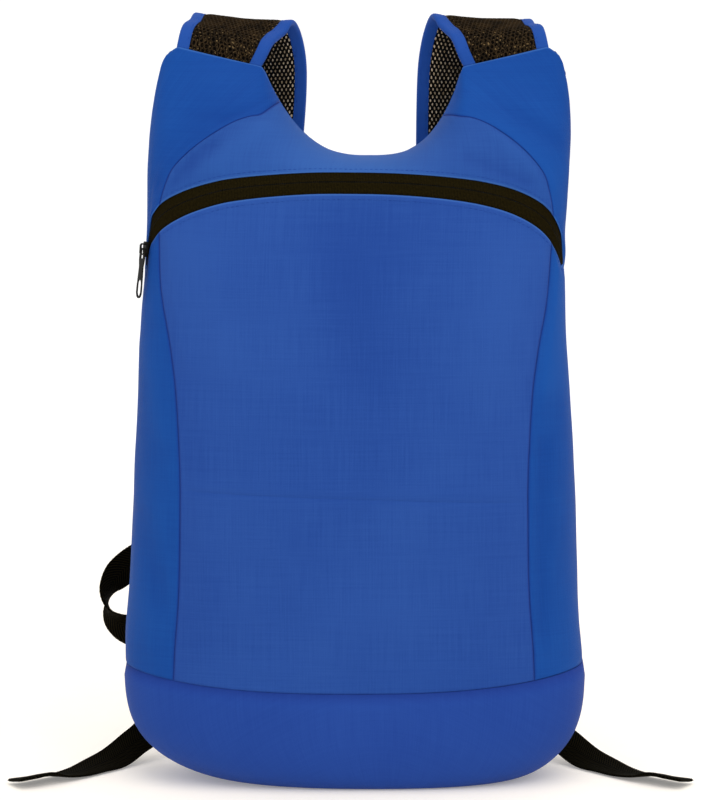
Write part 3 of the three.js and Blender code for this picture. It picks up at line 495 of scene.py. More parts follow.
def calmed(normals, rounds=3):
    """Normals averaged with their neighbours, so that pinched corners stay tidy."""
    for _ in range(rounds):
        padded = np.pad(normals, ((1, 1), (1, 1), (0, 0)), mode="edge")
        beside = padded[:-2, 1:-1] + padded[2:, 1:-1] + padded[1:-1, :-2] + padded[1:-1, 2:]
        normals = unit(normals + 0.5 * beside)
    return normals


def edge_spacing(count, crowd=0.78):
    """Shares from 0 to 1 that lie closer together towards both ends."""
    even = np.linspace(0, 1, count)
    return even - crowd / (2 * math.pi) * np.sin(2 * math.pi * even)


def even_shares(line, count, crowd=0.78):
    """Shares of a line's own measure that are spaced by length, crowded towards both ends."""
    fine = np.linspace(0, 1, 600)
    far = lengths_along(line(fine)[None], 1)[0]
    return np.interp(edge_spacing(count, crowd) * far[-1], far, fine)


def edge_marks(near_seam, near_fold):
    """How much of a seam's painted shade and of a folded edge's painted highlight shows at each point."""
    seam = np.exp(-((near_seam / CLOTH.seam_shade) ** 2))
    fold = np.exp(-(((near_fold - CLOTH.fold_at) / CLOTH.fold_shade) ** 2))
    return {"seam": seam.ravel(), "fold": fold.ravel()}


def with_rows_at_crease(up, heights):
    """Shares up a panel with closer rows about the packing crease."""
    near = CREASE.height + np.linspace(-CREASE.spread, CREASE.spread, CREASE.rows)
    return np.unique(np.concatenate([up, np.interp(near, heights, up)]))


class Panel:
    """A cloth panel: place(across, up) gives its points, with both from 0 to 1."""

    def __init__(self, name, place, rows, columns, wrinkle=0.6, seed=1, seams="lrb", folds="t", extra=None):
        self.name = name
        across = even_shares(lambda s: place(s, np.full_like(s, 0.5)), columns)
        up = even_shares(lambda s: place(np.full_like(s, 0.5), s), rows)
        if extra is not None:
            up = with_rows_at_crease(up, place(np.full_like(up, 0.5), up)[:, 2])
        base = place(*np.meshgrid(across, up))
        wide, tall = lengths_along(base, 1), lengths_along(base, 0)
        ends = {"l": wide, "r": wide[:, -1:] - wide, "b": tall, "t": tall[-1:] - tall}
        near_seam = np.min([ends[side] for side in seams], axis=0)
        ends["b"] = ends["b"] + CLOTH.base_ease * ("b" in seams)
        shaded = np.min([ends[side] for side in seams], axis=0)
        near_fold = np.min([ends[side] for side in folds], axis=0)
        near = np.minimum(near_seam, near_fold)
        self.weave = np.stack([wide - wide[:, -1:] / 2, base[..., 2]], -1)
        normal = grid_normals(base)
        flat_x, flat_y = self.weave[..., 0], self.weave[..., 1]
        lift = -CLOTH.roll * np.clip(1 - near / CLOTH.roll_width, 0, 1) ** 2
        fade = np.exp(-near / CLOTH.pucker_reach) * np.clip(near / CLOTH.roll_width, 0, 1)
        waves = soft_noise(flat_x * 2 / CLOTH.pucker_length, flat_y * 2 / CLOTH.pucker_length, seed + 7)
        lift = lift + CLOTH.pucker * fade * waves
        calm = ease(near, 0, 25)
        broad = soft_noise(flat_x / 46, flat_y / 70, seed)
        small = soft_noise(flat_x / 19, flat_y / 33, seed + 1)
        lift = lift + wrinkle * calm * (broad + 0.45 * small)
        folds_here = soft_folds(base) * ease(near, 0, 9)
        lift = lift + folds_here
        if extra is not None:
            lift = lift + extra(flat_x, flat_y)
        self.grid = base + normal * lift[..., None]
        self.normal = calmed(grid_normals(self.grid))
        # The soft folds' lift also goes to the cloth as painted light on ridges and painted shade in dents
        self.marks = {**edge_marks(shaded, near_fold), "painted_fold_shading": folds_here.ravel()}
        self.size = (float(wide[:, -1].max()), float(tall[-1].max()))
        rising = self.grid[1:, 1:] - self.grid[:-1, :-1]
        falling = self.grid[1:, :-1] - self.grid[:-1, 1:]
        self.area = 0.5 * np.linalg.norm(np.cross(rising, falling), axis=-1).sum()

    def make(self, node, material):
        weave = self.weave.reshape(-1, 2)
        piece = shell(self.name, self.grid, self.normal, CLOTH.thick, weave, self.marks, material)
        dress(piece, node)
        return piece


# Node graphs


class Graph:
    """Adds nodes to a tree: settings first, then the values or links of their sockets."""

    def __init__(self, tree):
        self.tree = tree

    def node(self, kind, settings=None, inputs=None, output=0):
        made = self.tree.nodes.new(kind)
        for key, value in (settings or {}).items():
            setattr(made, key, value)
        for key, value in (inputs or {}).items():
            self.feed(made.inputs[key], value)
        return Wire(self, made.outputs[output])

    def feed(self, socket, value):
        if isinstance(value, Wire):
            self.tree.links.new(value.socket, socket)
        else:
            socket.default_value = value


class Wire:
    """A node's output that sums, products and the like can be written with."""

    def __init__(self, graph, socket):
        self.graph = graph
        self.socket = socket

    def math(self, operation, first, second=0.0):
        return self.graph.node("ShaderNodeMath", {"operation": operation}, {0: first, 1: second})

    def __add__(self, other):
        return self.math("ADD", self, other)

    def __sub__(self, other):
        return self.math("SUBTRACT", self, other)

    def __rsub__(self, other):
        return self.math("SUBTRACT", other, self)

    def __mul__(self, other):
        return self.math("MULTIPLY", self, other)

    def __truediv__(self, other):
        return self.math("DIVIDE", self, other)

    __radd__ = __add__
    __rmul__ = __mul__

    def sine(self):
        return self.math("SINE", self)

    def size(self):
        return self.math("ABSOLUTE", self)

    def step(self, start, end):
        names = {"Value": self, "From Min": start, "From Max": end}
        return self.graph.node("ShaderNodeMapRange", {"interpolation_type": "SMOOTHSTEP"}, names)


def srgb(red, green, blue):
    """A colour as seen in a picture, 0 to 255, as linear light."""
    shares = np.array([red, green, blue]) / 255
    linear = np.where(shares <= 0.04045, shares / 12.92, ((shares + 0.055) / 1.055) ** 2.4)
    return (*linear.tolist(), 1.0)


class Finish(Graph):
    """A material, with the sockets of its one shader."""

    def __init__(self, name):
        self.material = bpy.data.materials.new(name)
        self.material.use_nodes = True
        super().__init__(self.material.node_tree)
        self.shader = self.tree.nodes["Principled BSDF"]

    def set(self, **values):
        for name, value in values.items():
            self.feed(self.shader.inputs[name.replace("_", " ").title().replace("Ior", "IOR")], value)

    def place(self):
        """The two flat measures of the cloth under a point, in millimetres."""
        flat = self.node("ShaderNodeUVMap", {"uv_map": "weave"})
        parts = {"Vector": flat}
        return [self.node("ShaderNodeSeparateXYZ", {}, parts, output) for output in (0, 1)]

    def here(self):
        return self.node("ShaderNodeTexCoord", output=3)

    def spread(self, x, y, z=0.0):
        return self.node("ShaderNodeCombineXYZ", {}, {0: x, 1: y, 2: z})

    def noise(self, where, scale, detail=2.0, roughness=0.5):
        names = {"Vector": where, "Scale": scale, "Detail": detail, "Roughness": roughness}
        return self.node("ShaderNodeTexNoise", {"noise_dimensions": "3D"}, names)

    def blend(self, share, low, high):
        return self.node("ShaderNodeMix", {"data_type": "RGBA"}, {0: share, 6: low, 7: high}, 2)

    def attribute(self, name):
        return self.node("ShaderNodeAttribute", {"attribute_name": name}, output=2)

    def bump(self, height, depth, strength=1.0):
        names = {"Height": height, "Distance": depth * MM, "Strength": strength}
        self.set(normal=self.node("ShaderNodeBump", {}, names))


# Finishes


THREAD_PITCH = 0.45
SEAM_SHADE = srgb(20, 36, 116)
# Painted highlight colour for the cloth along folded edges and over the yoke's middle
PAINTED_FOLD_HIGHLIGHT = srgb(72, 122, 190)


def cloth_finish(name, colour, light, streak=1.0):
    """Plain woven cloth: fine threads both ways, uneven threads as streaks, painted shade along seams,
    painted highlights along folded edges, and painted light and shade on the soft folds.
    """
    finish = Finish(name)
    across, up = finish.place()
    warp = finish.noise(finish.spread(across * 1.1, up * 0.028), 1.0, 3.0, 0.6)
    weft = finish.noise(finish.spread(across * 0.028, up * 1.1, 3.7), 1.0, 3.0, 0.6)
    cloud = finish.noise(finish.spread(across * 0.009, up * 0.007, 9.1), 1.0, 2.0)
    tone = (warp - 0.5) * (streak * 0.75) + (weft - 0.5) * (streak * 0.5) + (cloud - 0.5) * 0.9 + 0.5
    # Painted light and shade on the soft folds: paler on ridges, darker in dents
    tone = tone + finish.attribute("painted_fold_shading") * 0.28
    plain = finish.blend(tone.step(0.0, 1.0), colour, light)
    # Painted highlight: the cloth turns paler along folded edges and over the yoke's middle
    with_fold_highlight = finish.blend(finish.attribute("fold") * 0.4, plain, PAINTED_FOLD_HIGHLIGHT)
    threads = (across * (2 * math.pi / THREAD_PITCH)).sine() * (up * (2 * math.pi / THREAD_PITCH)).sine()
    finish.set(base_color=finish.blend(finish.attribute("seam") * 0.6, with_fold_highlight, SEAM_SHADE))
    finish.set(roughness=tone * 0.14 + 0.6, specular_ior_level=0.1, sheen_weight=0.02, sheen_roughness=0.5)
    finish.bump(threads * 0.5 + warp * 1.2 + weft * 1.2, 0.05)
    return finish.material


def webbing_finish():
    """Black ribbed webbing with slanting threads."""
    finish = Finish("black ribbed webbing")
    across, along = finish.place()
    slant = ((along / WEBBING.rib + across.size() * WEBBING.slant) * (2 * math.pi)).sine()
    fine = (across * (2 * math.pi / 0.7)).sine()
    fuzz = finish.noise(finish.spread(across, along), 2.4, 3.0)
    tone = slant * 0.5 + fine * 0.12 + fuzz * 0.6
    finish.set(base_color=finish.blend(tone.step(0.2, 1.0), srgb(0, 0, 0), srgb(34, 29, 13)))
    finish.set(roughness=0.8 - fuzz * 0.2, specular_ior_level=0.02)
    finish.bump(slant * 0.6 + fine * 0.4 + fuzz * 0.3, 0.16)
    return finish.material


def tape_finish():
    """Black zipper tape with fine cross ribs."""
    finish = Finish("black zipper tape")
    along, across = finish.place()
    ribs = (along * (2 * math.pi / 0.9)).sine()
    fuzz = finish.noise(finish.spread(along, across * 0.6), 1.6, 3.0)
    tone = (ribs * 0.16 + fuzz).step(0.1, 0.95)
    finish.set(base_color=finish.blend(tone, srgb(6, 4, 1), srgb(36, 29, 7)))
    finish.set(roughness=0.8 - fuzz * 0.2, specular_ior_level=0.02)
    finish.bump(ribs * 0.5 + fuzz * 0.5, 0.14)
    return finish.material


def yarn_finish(name, colour, light, rough):
    """Twisted yarn, unevenly lit along its length."""
    finish = Finish(name)
    fuzz = finish.noise(finish.here(), 900.0, 3.0)
    patch = finish.noise(finish.here(), 160.0, 2.0)
    finish.set(base_color=finish.blend((fuzz * 0.6 + patch * 0.6).step(0.35, 0.85), colour, light))
    finish.set(roughness=rough + fuzz * 0.2, specular_ior_level=0.08)
    finish.bump(fuzz, 0.05)
    return finish.material


def pad_finish():
    """Pale spacer yarn under the net; on the strap's outer face it is painted dark as shade in the net's
    holes, with sparse pale specks as painted glints.
    """
    finish = Finish("spacer yarn under the net")
    fuzz = finish.noise(finish.here(), 700.0, 3.0)
    outside = finish.attribute("outside")
    # Painted shade: on the outer face the yarn is darkened to stand for the shade in the holes, with pale
    # specks as painted glints
    deep = finish.blend(outside, srgb(180, 156, 122), srgb(4, 3, 2))
    pale = finish.blend(outside, srgb(244, 224, 190), srgb(168, 138, 94))
    finish.set(base_color=finish.blend((fuzz - outside * 0.15).step(0.35, 0.7), deep, pale))
    finish.set(roughness=0.75 + fuzz * 0.2, specular_ior_level=0.05)
    finish.bump(fuzz, 0.08)
    return finish.material


def hard_finish(name, colour, light, rough, gloss, grain=2600.0):
    """Painted metal or moulded plastic: fine grain, and worn lighter patches."""
    finish = Finish(name)
    speck = finish.noise(finish.here(), grain, 2.0)
    wear = finish.noise(finish.here(), 240.0, 3.0)
    finish.set(base_color=finish.blend(wear.step(0.45, 0.8), colour, light), specular_ior_level=gloss)
    finish.set(roughness=rough + (speck - 0.5) * 0.18 + (wear - 0.5) * 0.15)
    finish.bump(speck, 0.02)
    return finish.material


# The front, yoke, side and base cloths are one fabric, toned apart as painted light and shade for how each
# panel faces the light
FRONT_CLOTH = cloth_finish("blue cloth, front and back", srgb(23, 62, 139), srgb(38, 77, 152))
YOKE_CLOTH = cloth_finish("blue cloth, yoke", srgb(22, 61, 135), srgb(36, 78, 150))
SIDE_CLOTH = cloth_finish("blue cloth, sides", srgb(3, 58, 136), srgb(16, 73, 151))
BASE_CLOTH = cloth_finish("blue cloth, base", srgb(22, 58, 139), srgb(34, 71, 152))
BINDING_CLOTH = cloth_finish("blue binding tape", srgb(20, 62, 140), srgb(32, 78, 158), 0.3)
BLUE_THREAD = yarn_finish("blue thread", srgb(22, 54, 132), srgb(40, 80, 158), 0.6)
BLACK_THREAD = yarn_finish("black thread", srgb(7, 6, 2), srgb(30, 25, 11), 0.6)
NET_YARN = {
    "outside": yarn_finish("brown-black net yarn", srgb(14, 10, 5), srgb(56, 42, 24), 0.7),
    "inside": yarn_finish("black net yarn", srgb(2, 2, 1), srgb(14, 11, 7), 0.7),
}
PAD_CLOTH = pad_finish()
WEBBING_BLACK = webbing_finish()
TAPE_BLACK = tape_finish()
SLIDER_METAL = hard_finish("black painted slider", srgb(4, 3, 1), srgb(16, 13, 8), 0.5, 0.08)
LOCK_PLASTIC = hard_finish("black moulded plastic", srgb(14, 14, 15), srgb(26, 26, 27), 0.46, 0.4)


# Geometry that repeats


def new_tree(name, seed, sizes, material, result):
    """A tree whose inputs are a seed mesh, some sizes and a material."""
    kinds = {seed: "Geometry", **dict.fromkeys(sizes, "Float"), material: "Material"}
    tree = bpy.data.node_groups.new(name, "GeometryNodeTree")
    for label, kind in kinds.items():
        tree.interface.new_socket(label, in_out="INPUT", socket_type="NodeSocket" + kind)
    tree.interface.new_socket(result, in_out="OUTPUT", socket_type="NodeSocketGeometry")
    graph = Graph(tree)
    entry = tree.nodes.new("NodeGroupInput")
    return graph, {label: Wire(graph, entry.outputs[label]) for label in kinds}


def end_tree(graph, geometry, material):
    """Ends a tree in real, smooth geometry with its material."""
    real = graph.node("GeometryNodeRealizeInstances", {}, {"Geometry": geometry})
    smooth = graph.node("GeometryNodeSetShadeSmooth", {}, {"Geometry": real})
    done = graph.node("GeometryNodeSetMaterial", {}, {"Geometry": smooth, "Material": material})
    graph.feed(graph.tree.nodes.new("NodeGroupOutput").inputs[0], done)
    return graph.tree


def bead_tree():
    """Beads at even steps along lines, turned along each line and standing on its lift."""
    sizes = ("Length", "Width", "Height")
    graph, given = new_tree("beads along a line", "Line", ("Pitch", *sizes), "Thread", "Beads")
    curve = graph.node("GeometryNodeMeshToCurve", {}, {"Mesh": given["Line"]})
    names = {"Curve": curve, "Length": given["Pitch"]}
    even = graph.node("GeometryNodeResampleCurve", {"mode": "LENGTH"}, names)
    tangent = graph.node("GeometryNodeInputTangent")
    lift = graph.node("GeometryNodeInputNamedAttribute", {"data_type": "FLOAT_VECTOR"}, {"Name": "lift"})
    along = graph.node("FunctionNodeAlignRotationToVector", {"axis": "X"}, {"Vector": tangent})
    names = {"Rotation": along, "Vector": lift}
    standing = graph.node("FunctionNodeAlignRotationToVector", {"axis": "Z", "pivot_axis": "X"}, names)
    bead = graph.node("GeometryNodeMeshUVSphere", {}, {"Segments": 6, "Rings": 4, "Radius": 0.5})
    names = {place: given[label] for place, label in enumerate(sizes)}
    scale = graph.node("ShaderNodeCombineXYZ", {}, names)
    names = {"Points": even, "Instance": bead, "Rotation": standing, "Scale": scale}
    beads = graph.node("GeometryNodeInstanceOnPoints", {}, names)
    return end_tree(graph, beads, given["Thread"])


def net_tree():
    """An open net: each six-sided cell becomes a crowned ring round a hole with walls."""
    graph, given = new_tree("open net", "Cells", ("Hole", "Narrow", "Crown", "Wall"), "Yarn", "Net")

    def pushed_in(depth, **names):
        names = {**names, "Offset Scale": given[depth] * -1.0, "Individual": True}
        body = graph.node("GeometryNodeExtrudeMesh", {"mode": "FACES"}, names)
        return body, Wire(graph, body.socket.node.outputs["Top"])

    ring, top = pushed_in("Crown", Mesh=given["Cells"])
    names = {"Geometry": ring, "Selection": top, "Scale": given["Hole"]}
    drawn = graph.node("GeometryNodeScaleElements", {"domain": "FACE"}, names)
    names = {"Geometry": drawn, "Selection": top, "Scale": given["Narrow"], "Axis": (1, 0, 0)}
    drawn = graph.node("GeometryNodeScaleElements", {"domain": "FACE", "scale_mode": "SINGLE_AXIS"}, names)
    wall, floor = pushed_in("Wall", Mesh=drawn, Selection=top)
    names = {"Geometry": wall, "Selection": floor}
    open_net = graph.node("GeometryNodeDeleteGeometry", {"domain": "FACE"}, names)
    return end_tree(graph, open_net, given["Yarn"])


BEADS = bead_tree()
OPEN_NET = net_tree()


def grown(name, seed_mesh, tree, values):
    """A plain mesh piece from a seed mesh and a tree with the given inputs."""
    seed = linked(name + "_seed", seed_mesh)
    modifier = seed.modifiers.new("repeat", "NODES")
    modifier.node_group = tree
    sockets = {item.name: item.identifier for item in tree.interface.items_tree if item.in_out == "INPUT"}
    for label, value in values.items():
        modifier[sockets[label]] = value
    seed.update_tag()
    piece = finished(seed, name)
    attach(piece, BAG)
    return piece


def line_mesh(lines):
    """A mesh of open lines, each given as points and lifts in millimetres."""
    points = np.concatenate([points for points, _ in lines])
    lifts = np.concatenate([lift for _, lift in lines])
    edges, start = [], 0
    for line, _ in lines:
        edges += [(start + step, start + step + 1) for step in range(len(line) - 1)]
        start += len(line)
    mesh = bpy.data.meshes.new("lines")
    mesh.from_pydata((points * MM).tolist(), edges, [])
    data = mesh.attributes.new("lift", "FLOAT_VECTOR", "POINT").data
    data.foreach_set("vector", lifts.astype(np.float32).ravel())
    return mesh


def beads_along(name, lines, size, thread):
    values = {label: getattr(size, label.lower()) * MM for label in ("Pitch", "Length", "Width", "Height")}
    return grown(name, line_mesh(lines), BEADS, {**values, "Thread": thread})


def snapped(points, pieces, raise_by):
    """Points moved onto the nearest of some pieces, with the lift there."""
    trees = []
    for mesh in (piece.data for piece in pieces):
        corners = [vertex.co for vertex in mesh.vertices]
        trees.append(BVHTree.FromPolygons(corners, [face.vertices for face in mesh.polygons]))
    moved, lifts = [], []
    for point in points:
        hits = [tree.find_nearest(Vector(point * MM)) for tree in trees]
        place, normal, _, _ = min(hits, key=lambda hit: hit[3])
        lifts.append(list(normal))
        moved.append(list(place / MM + normal * raise_by))
    return np.array(moved), np.array(lifts)


# Cloth panels


def seam_angle(table, rise):
    return front_angle(table("share", rise))


def lower_height(angle, rise):
    return mix(bottom_seam(angle), zip_line(angle) - zip_half(angle), rise)


def back_share(rise):
    low = 1 - BACK_SEAM.inset / BODY("half_width", zip_line(0.0))
    return mix(BACK_SEAM.top_share, low, (1 - rise) ** 2)


LOWER_BACK_ANGLE = float(back_angle(back_share(0.0)))
LOWER_BACK_PART = 0.62


def middle_angle(table, across, up):
    edge = around(seam_angle(table, up))[0]
    return front_angle(edge * (1 - 2 * across))


def front_place(across, up):
    angle = middle_angle(FRONT_SEAM, across, up)
    return skin(angle, lower_height(angle, up))


def yoke_place(across, up):
    return crown(middle_angle(SHOULDER_SEAM, across, up), up)


def side_angle(back, table, across, up, sign):
    """An angle between a back seam and a front seam, on either side."""
    turn = mix(back, seam_angle(table, up), across if sign > 0 else 1 - across)
    return turn if sign > 0 else 180 - turn


def side_place(sign):
    def place(across, up):
        angle = side_angle(LOWER_BACK_ANGLE, FRONT_SEAM, across, up, sign)
        return skin(angle, lower_height(angle, up))

    return place


def shoulder_place(sign):
    def place(across, up):
        return crown(side_angle(back_angle(back_share(up)), SHOULDER_SEAM, across, up, sign), up)

    return place


def back_place(across, up):
    rise = np.clip((up - LOWER_BACK_PART) / (1 - LOWER_BACK_PART), 0, 1)
    edge = around(back_angle(back_share(rise)))[0]
    angle = back_angle(edge * (2 * across - 1))
    height = mix(bottom_seam(angle), zip_line(angle), np.clip(up / LOWER_BACK_PART, 0, 1))
    upper = (up > LOWER_BACK_PART)[..., None]
    return np.where(upper, crown(angle, rise), skin(angle, height))


def packing_crease(flat_x, flat_y):
    """A faint fold line across the front, left from packing."""
    off = flat_y - CREASE.height - CREASE.slope * flat_x
    return -CREASE.depth * np.exp(-np.abs(off) / CREASE.width) * ease(np.abs(flat_x), 108, 80)


def make_panels():
    front = Panel("front_cloth", front_place, 150, 120, 0.9, 11, extra=packing_crease)
    back = Panel("back_cloth", back_place, 150, 110, 1.0, 23)
    yoke = Panel("yoke_cloth", yoke_place, 80, 160, 0.7, 31, "lr", "bt")
    panels = [
        (front, "front_panel", FRONT_CLOTH),
        (back, "back_panel", FRONT_CLOTH),
        (yoke, "top_yoke", YOKE_CLOTH),
    ]
    # Painted highlight on the yoke's middle, carried by the fold mark
    painted_light = YOKE_PAINTED_LIGHT.share * np.exp(-(((yoke.grid[..., 0] - YOKE_PAINTED_LIGHT.middle) / YOKE_PAINTED_LIGHT.width) ** 2))
    yoke.marks["fold"] = np.maximum(yoke.marks["fold"], painted_light.ravel())
    for name, sign in SIDES:
        seed = 41 if sign > 0 else 47
        side = Panel(f"side_cloth_{name}", side_place(sign), 150, 56, 1.0, seed)
        place = shoulder_place(sign)
        shoulder = Panel(f"shoulder_cloth_{name}", place, 100, 90, 0.9, seed + 10, "lr", "bt")
        panels.append((side, f"side_panel_{name}", SIDE_CLOTH))
        panels.append((shoulder, f"shoulder_panel_{name}", SIDE_CLOTH))
    return {node: panel.make(node, material) for panel, node, material in panels}


def make_base():
    """The bottom panel: a flat middle that turns up into the seam, in one wrapped grid."""
    columns, floor_rows, wall_rows = 181, 12, 34
    fine = np.linspace(-90, 270, 2000)
    far = lengths_along(tub(fine, np.ones_like(fine))[None], 1)[0]
    angle = np.interp(np.linspace(0, far[-1], columns), far, fine)
    middle = np.array([BASE.floor_shift, 0, 0])
    rim = tub(angle, np.zeros_like(angle)) - middle
    floor = middle + np.linspace(0, 1, floor_rows)[:-1, None, None] * rim
    turns = np.linspace(0, 1, wall_rows)[:, None]
    wall = tub(angle[None], np.broadcast_to(turns, (wall_rows, columns)))
    base = np.concatenate([floor, wall])
    tall = lengths_along(base, 0)
    near = tall[-1:] - tall
    normal = grid_normals(base)
    normal[:, [0, -1]] = unit(normal[:, :1] + normal[:, -1:])
    normal[:floor_rows] = (0, 0, -1)
    wide = np.broadcast_to(np.interp(angle, fine, far), near.shape)
    from_join = np.minimum(wide, far[-1] - wide)
    lift = -(BASE.proud + BASE.pinch) * np.clip(1 - near / BASE.pinch_width, 0, 1) ** 2
    calm = ease(near, 0, 14) * ease(base[..., 2], 2, 14) * ease(from_join, 0, 30)
    lift = lift + 0.5 * calm * soft_noise(wide / 41, base[..., 2] / 30, 5)
    waves = soft_noise(wide * 2 / CLOTH.pucker_length, near / 9, 6) * ease(from_join, 0, 30)
    lift = lift + CLOTH.pucker * np.exp(-near / CLOTH.pucker_reach) * np.clip(near / 2.6, 0, 1) * waves
    grid = base + normal * lift[..., None]
    weave = np.stack([wide, tall], -1).reshape(-1, 2)
    marks = edge_marks(near + CLOTH.base_ease, np.full_like(near, 100.0))
    piece = shell("base_cloth", grid, normal, CLOTH.thick, weave, marks, BASE_CLOTH, wraps=True)
    dress(piece, "bottom_panel")


# Zipper


def zip_angles(count):
    first = ZIP_TAPER.right[0] + ZIP_TAPER.margin
    last = 180 - ZIP_TAPER.left[0] - ZIP_TAPER.margin
    fine = np.linspace(first, last, 1500)
    far = lengths_along(skin(fine, zip_line(fine))[None], 1)[0]
    return np.interp(np.linspace(0, far[-1], count), far, fine), far[-1]


def lifted_skin(angle, height, lift):
    """A point over or under the cloth's surface."""
    step = 0.3
    along = skin(angle + step, height) - skin(angle - step, height)
    up = skin(angle, height + step) - skin(angle, height - step)
    return skin(angle, height) + unit(np.cross(up, along)) * np.asarray(lift)[..., None]


def zip_tape(name, node, sign, share_rows=14):
    """Half of the tape, tucked under the cloth and rolled into a bead at the middle line."""
    columns = 260
    angle, length = zip_angles(columns)
    half = zip_half(angle) + TAPE.tuck
    across = np.linspace(0, 1, share_rows)[:, None]
    middle = zip_line(angle) + RIB.share * zip_half(angle) + sign * TAPE.slot
    height = mix(middle, zip_line(angle) + sign * half, across)
    off = np.abs(height - middle)
    bead = TAPE.bead * np.exp(-((off - TAPE.bead_at) / (0.5 * TAPE.bead_width)) ** 2)
    sink = mix(-TAPE.rest, -TAPE.sink, ease(off, 0.55 * half, half))
    grid = lifted_skin(np.broadcast_to(angle, height.shape), height, sink + bead)
    if sign < 0:
        grid, height = grid[::-1], height[::-1]
    normal = grid_normals(grid)
    wide = np.broadcast_to(np.linspace(0, length, columns), height.shape)
    weave = np.stack([wide, height - middle], -1).reshape(-1, 2)
    piece = shell(name, grid, normal, TAPE.thick, weave, {}, TAPE_BLACK)
    dress(piece, node)


def zip_ribs():
    """The closed coil seen through the tape as fine ribs across the middle line."""
    angle, _ = zip_angles(420)
    middle = zip_line(angle) + RIB.share * zip_half(angle)
    line = lifted_skin(angle, middle, np.full_like(angle, RIB.lift))
    lift = unit(lifted_skin(angle, middle, np.ones_like(angle)) - skin(angle, middle))
    piece = beads_along("zip_coil_ribs", [(line, lift)], RIB, BLACK_THREAD)
    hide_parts("zip_coil")


def zip_topstitch(panels):
    """Rows of stitches along both edges of the zipper's opening."""
    angle, _ = zip_angles(150)
    inside = slice(3, -3)
    below = skin(angle, zip_line(angle) - zip_half(angle) - TOPSTITCH.below)[inside]
    above = skin(angle, zip_line(angle) + zip_half(angle) + TOPSTITCH.above)[inside]
    lower = [panels[node] for node in ("front_panel", "side_panel_left", "side_panel_right")]
    upper = [panels[node] for node in ("top_yoke", "shoulder_panel_left", "shoulder_panel_right")]
    lines = [snapped(below, lower, TOPSTITCH.lift), snapped(above, upper, TOPSTITCH.lift)]
    beads_along("zip_topstitch", lines, TOPSTITCH, BLUE_THREAD)


def bevelled_copy(name, node, body, width, material):
    """A CAD solid with its edges rounded."""
    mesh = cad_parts[node].data.copy()
    work = bmesh.new()
    work.from_mesh(mesh)
    bmesh.ops.remove_doubles(work, verts=work.verts, dist=1e-6)
    bmesh.ops.dissolve_limit(work, angle_limit=math.radians(2), verts=work.verts, edges=work.edges)
    work.to_mesh(mesh)
    work.free()
    mesh.materials.clear()
    mesh.materials.append(material)
    raw = linked(name + "_raw", mesh)
    bevel = raw.modifiers.new("round", "BEVEL")
    bevel.width = width * MM
    bevel.segments = 3
    bevel.limit_method = "ANGLE"
    bevel.angle_limit = math.radians(40)
    dress(finished(raw, name), node, body)


# Bands: straps, bindings and webbing


def smooth_line(rows, shares, centripetal=True):
    """Points of a smooth line through rows, at shares of its run from the first row to the last."""
    rows = np.asarray(rows, float)
    outer = np.vstack([2 * rows[0] - rows[1], rows, 2 * rows[-1] - rows[-2]])
    place = np.clip(shares, 0, 1) * (len(rows) - 1)
    index = np.minimum(place.astype(int), len(rows) - 2)
    step = (place - index)[:, None]
    p0, p1, p2, p3 = (outer[index + offset] for offset in range(4))
    if centripetal:
        pairs = ((p0, p1), (p1, p2), (p2, p3))
        d0, d1, d2 = (np.maximum(np.linalg.norm(b - a, axis=1), 1e-6)[:, None] ** 0.5 for a, b in pairs)
        leave = d1 * ((p1 - p0) / d0 - (p2 - p0) / (d0 + d1) + (p2 - p1) / d1)
        arrive = d1 * ((p2 - p1) / d1 - (p3 - p1) / (d1 + d2) + (p3 - p2) / d2)
    else:
        leave, arrive = 0.5 * (p2 - p0), 0.5 * (p3 - p1)
    bend = 3 * (p2 - p1) - 2 * leave - arrive
    return p1 + leave * step + bend * step**2 + (2 * (p1 - p2) + leave + arrive) * step**3


class Band:
    """A flat band along a smooth line, sampled at even steps of length, on the right-hand side."""

    def __init__(self, points, widths, step, sizes=None, start=0.0):
        fine = np.linspace(start, 1, 3000)
        far = lengths_along(smooth_line(points, fine)[None], 1)[0]
        self.length = far[-1]
        self.run = np.linspace(0, self.length, max(8, int(self.length / step)))
        shares = np.interp(self.run, far, fine)
        self.origin = smooth_line(points, shares)
        self.along = unit(np.gradient(self.origin, axis=0))
        across = smooth_line(widths, shares, False)
        self.across = unit(across - self.along * (across * self.along).sum(1, keepdims=True))
        self.normal = np.cross(self.across, self.along)
        if sizes is not None:
            self.width, self.thick = smooth_line(sizes, shares, False).T

    def at(self, run, across, out):
        """Points at a run along the band, a place across it and a height over its middle face."""
        pick = lambda values: np.stack([np.interp(run, self.run, column) for column in values.T], -1)
        sideways, outward = pick(self.across), pick(self.normal)
        return pick(self.origin) + sideways * across[..., None] + outward * out[..., None]

    def rings(self, across, out):
        """A ring of points at each step, from places across and heights given for each step."""
        return (
            self.origin[:, None]
            + self.across[:, None] * np.asarray(across)[..., None]
            + self.normal[:, None] * np.asarray(out)[..., None]
        )


def on_side(points, sign):
    """Right-hand points mirrored for the left, then leant with the body."""
    moved = points * np.array([sign, 1, 1])
    moved[..., 0] += lean(points[..., 2])
    return moved


def swept(name, rings, weave, material, sign, marks=None):
    """A closed body through rings of points, capped at both ends."""
    count, around_count = rings.shape[:2]
    index = np.arange(count * around_count).reshape(count, around_count)
    ahead = np.roll(index, -1, axis=1)
    faces = np.stack([index[:-1], ahead[:-1], ahead[1:], index[1:]], -1).reshape(-1, 4)
    points = on_side(rings, sign).reshape(-1, 3)
    caps = [index[0][::-1].tolist(), index[-1].tolist()]
    return make_piece(name, points, faces, material, weave.reshape(-1, 2), marks, face_lists=caps)


def table_rows(columns, rows, names):
    places = [columns.index(name) for name in names]
    return np.array(rows, float)[:, places]


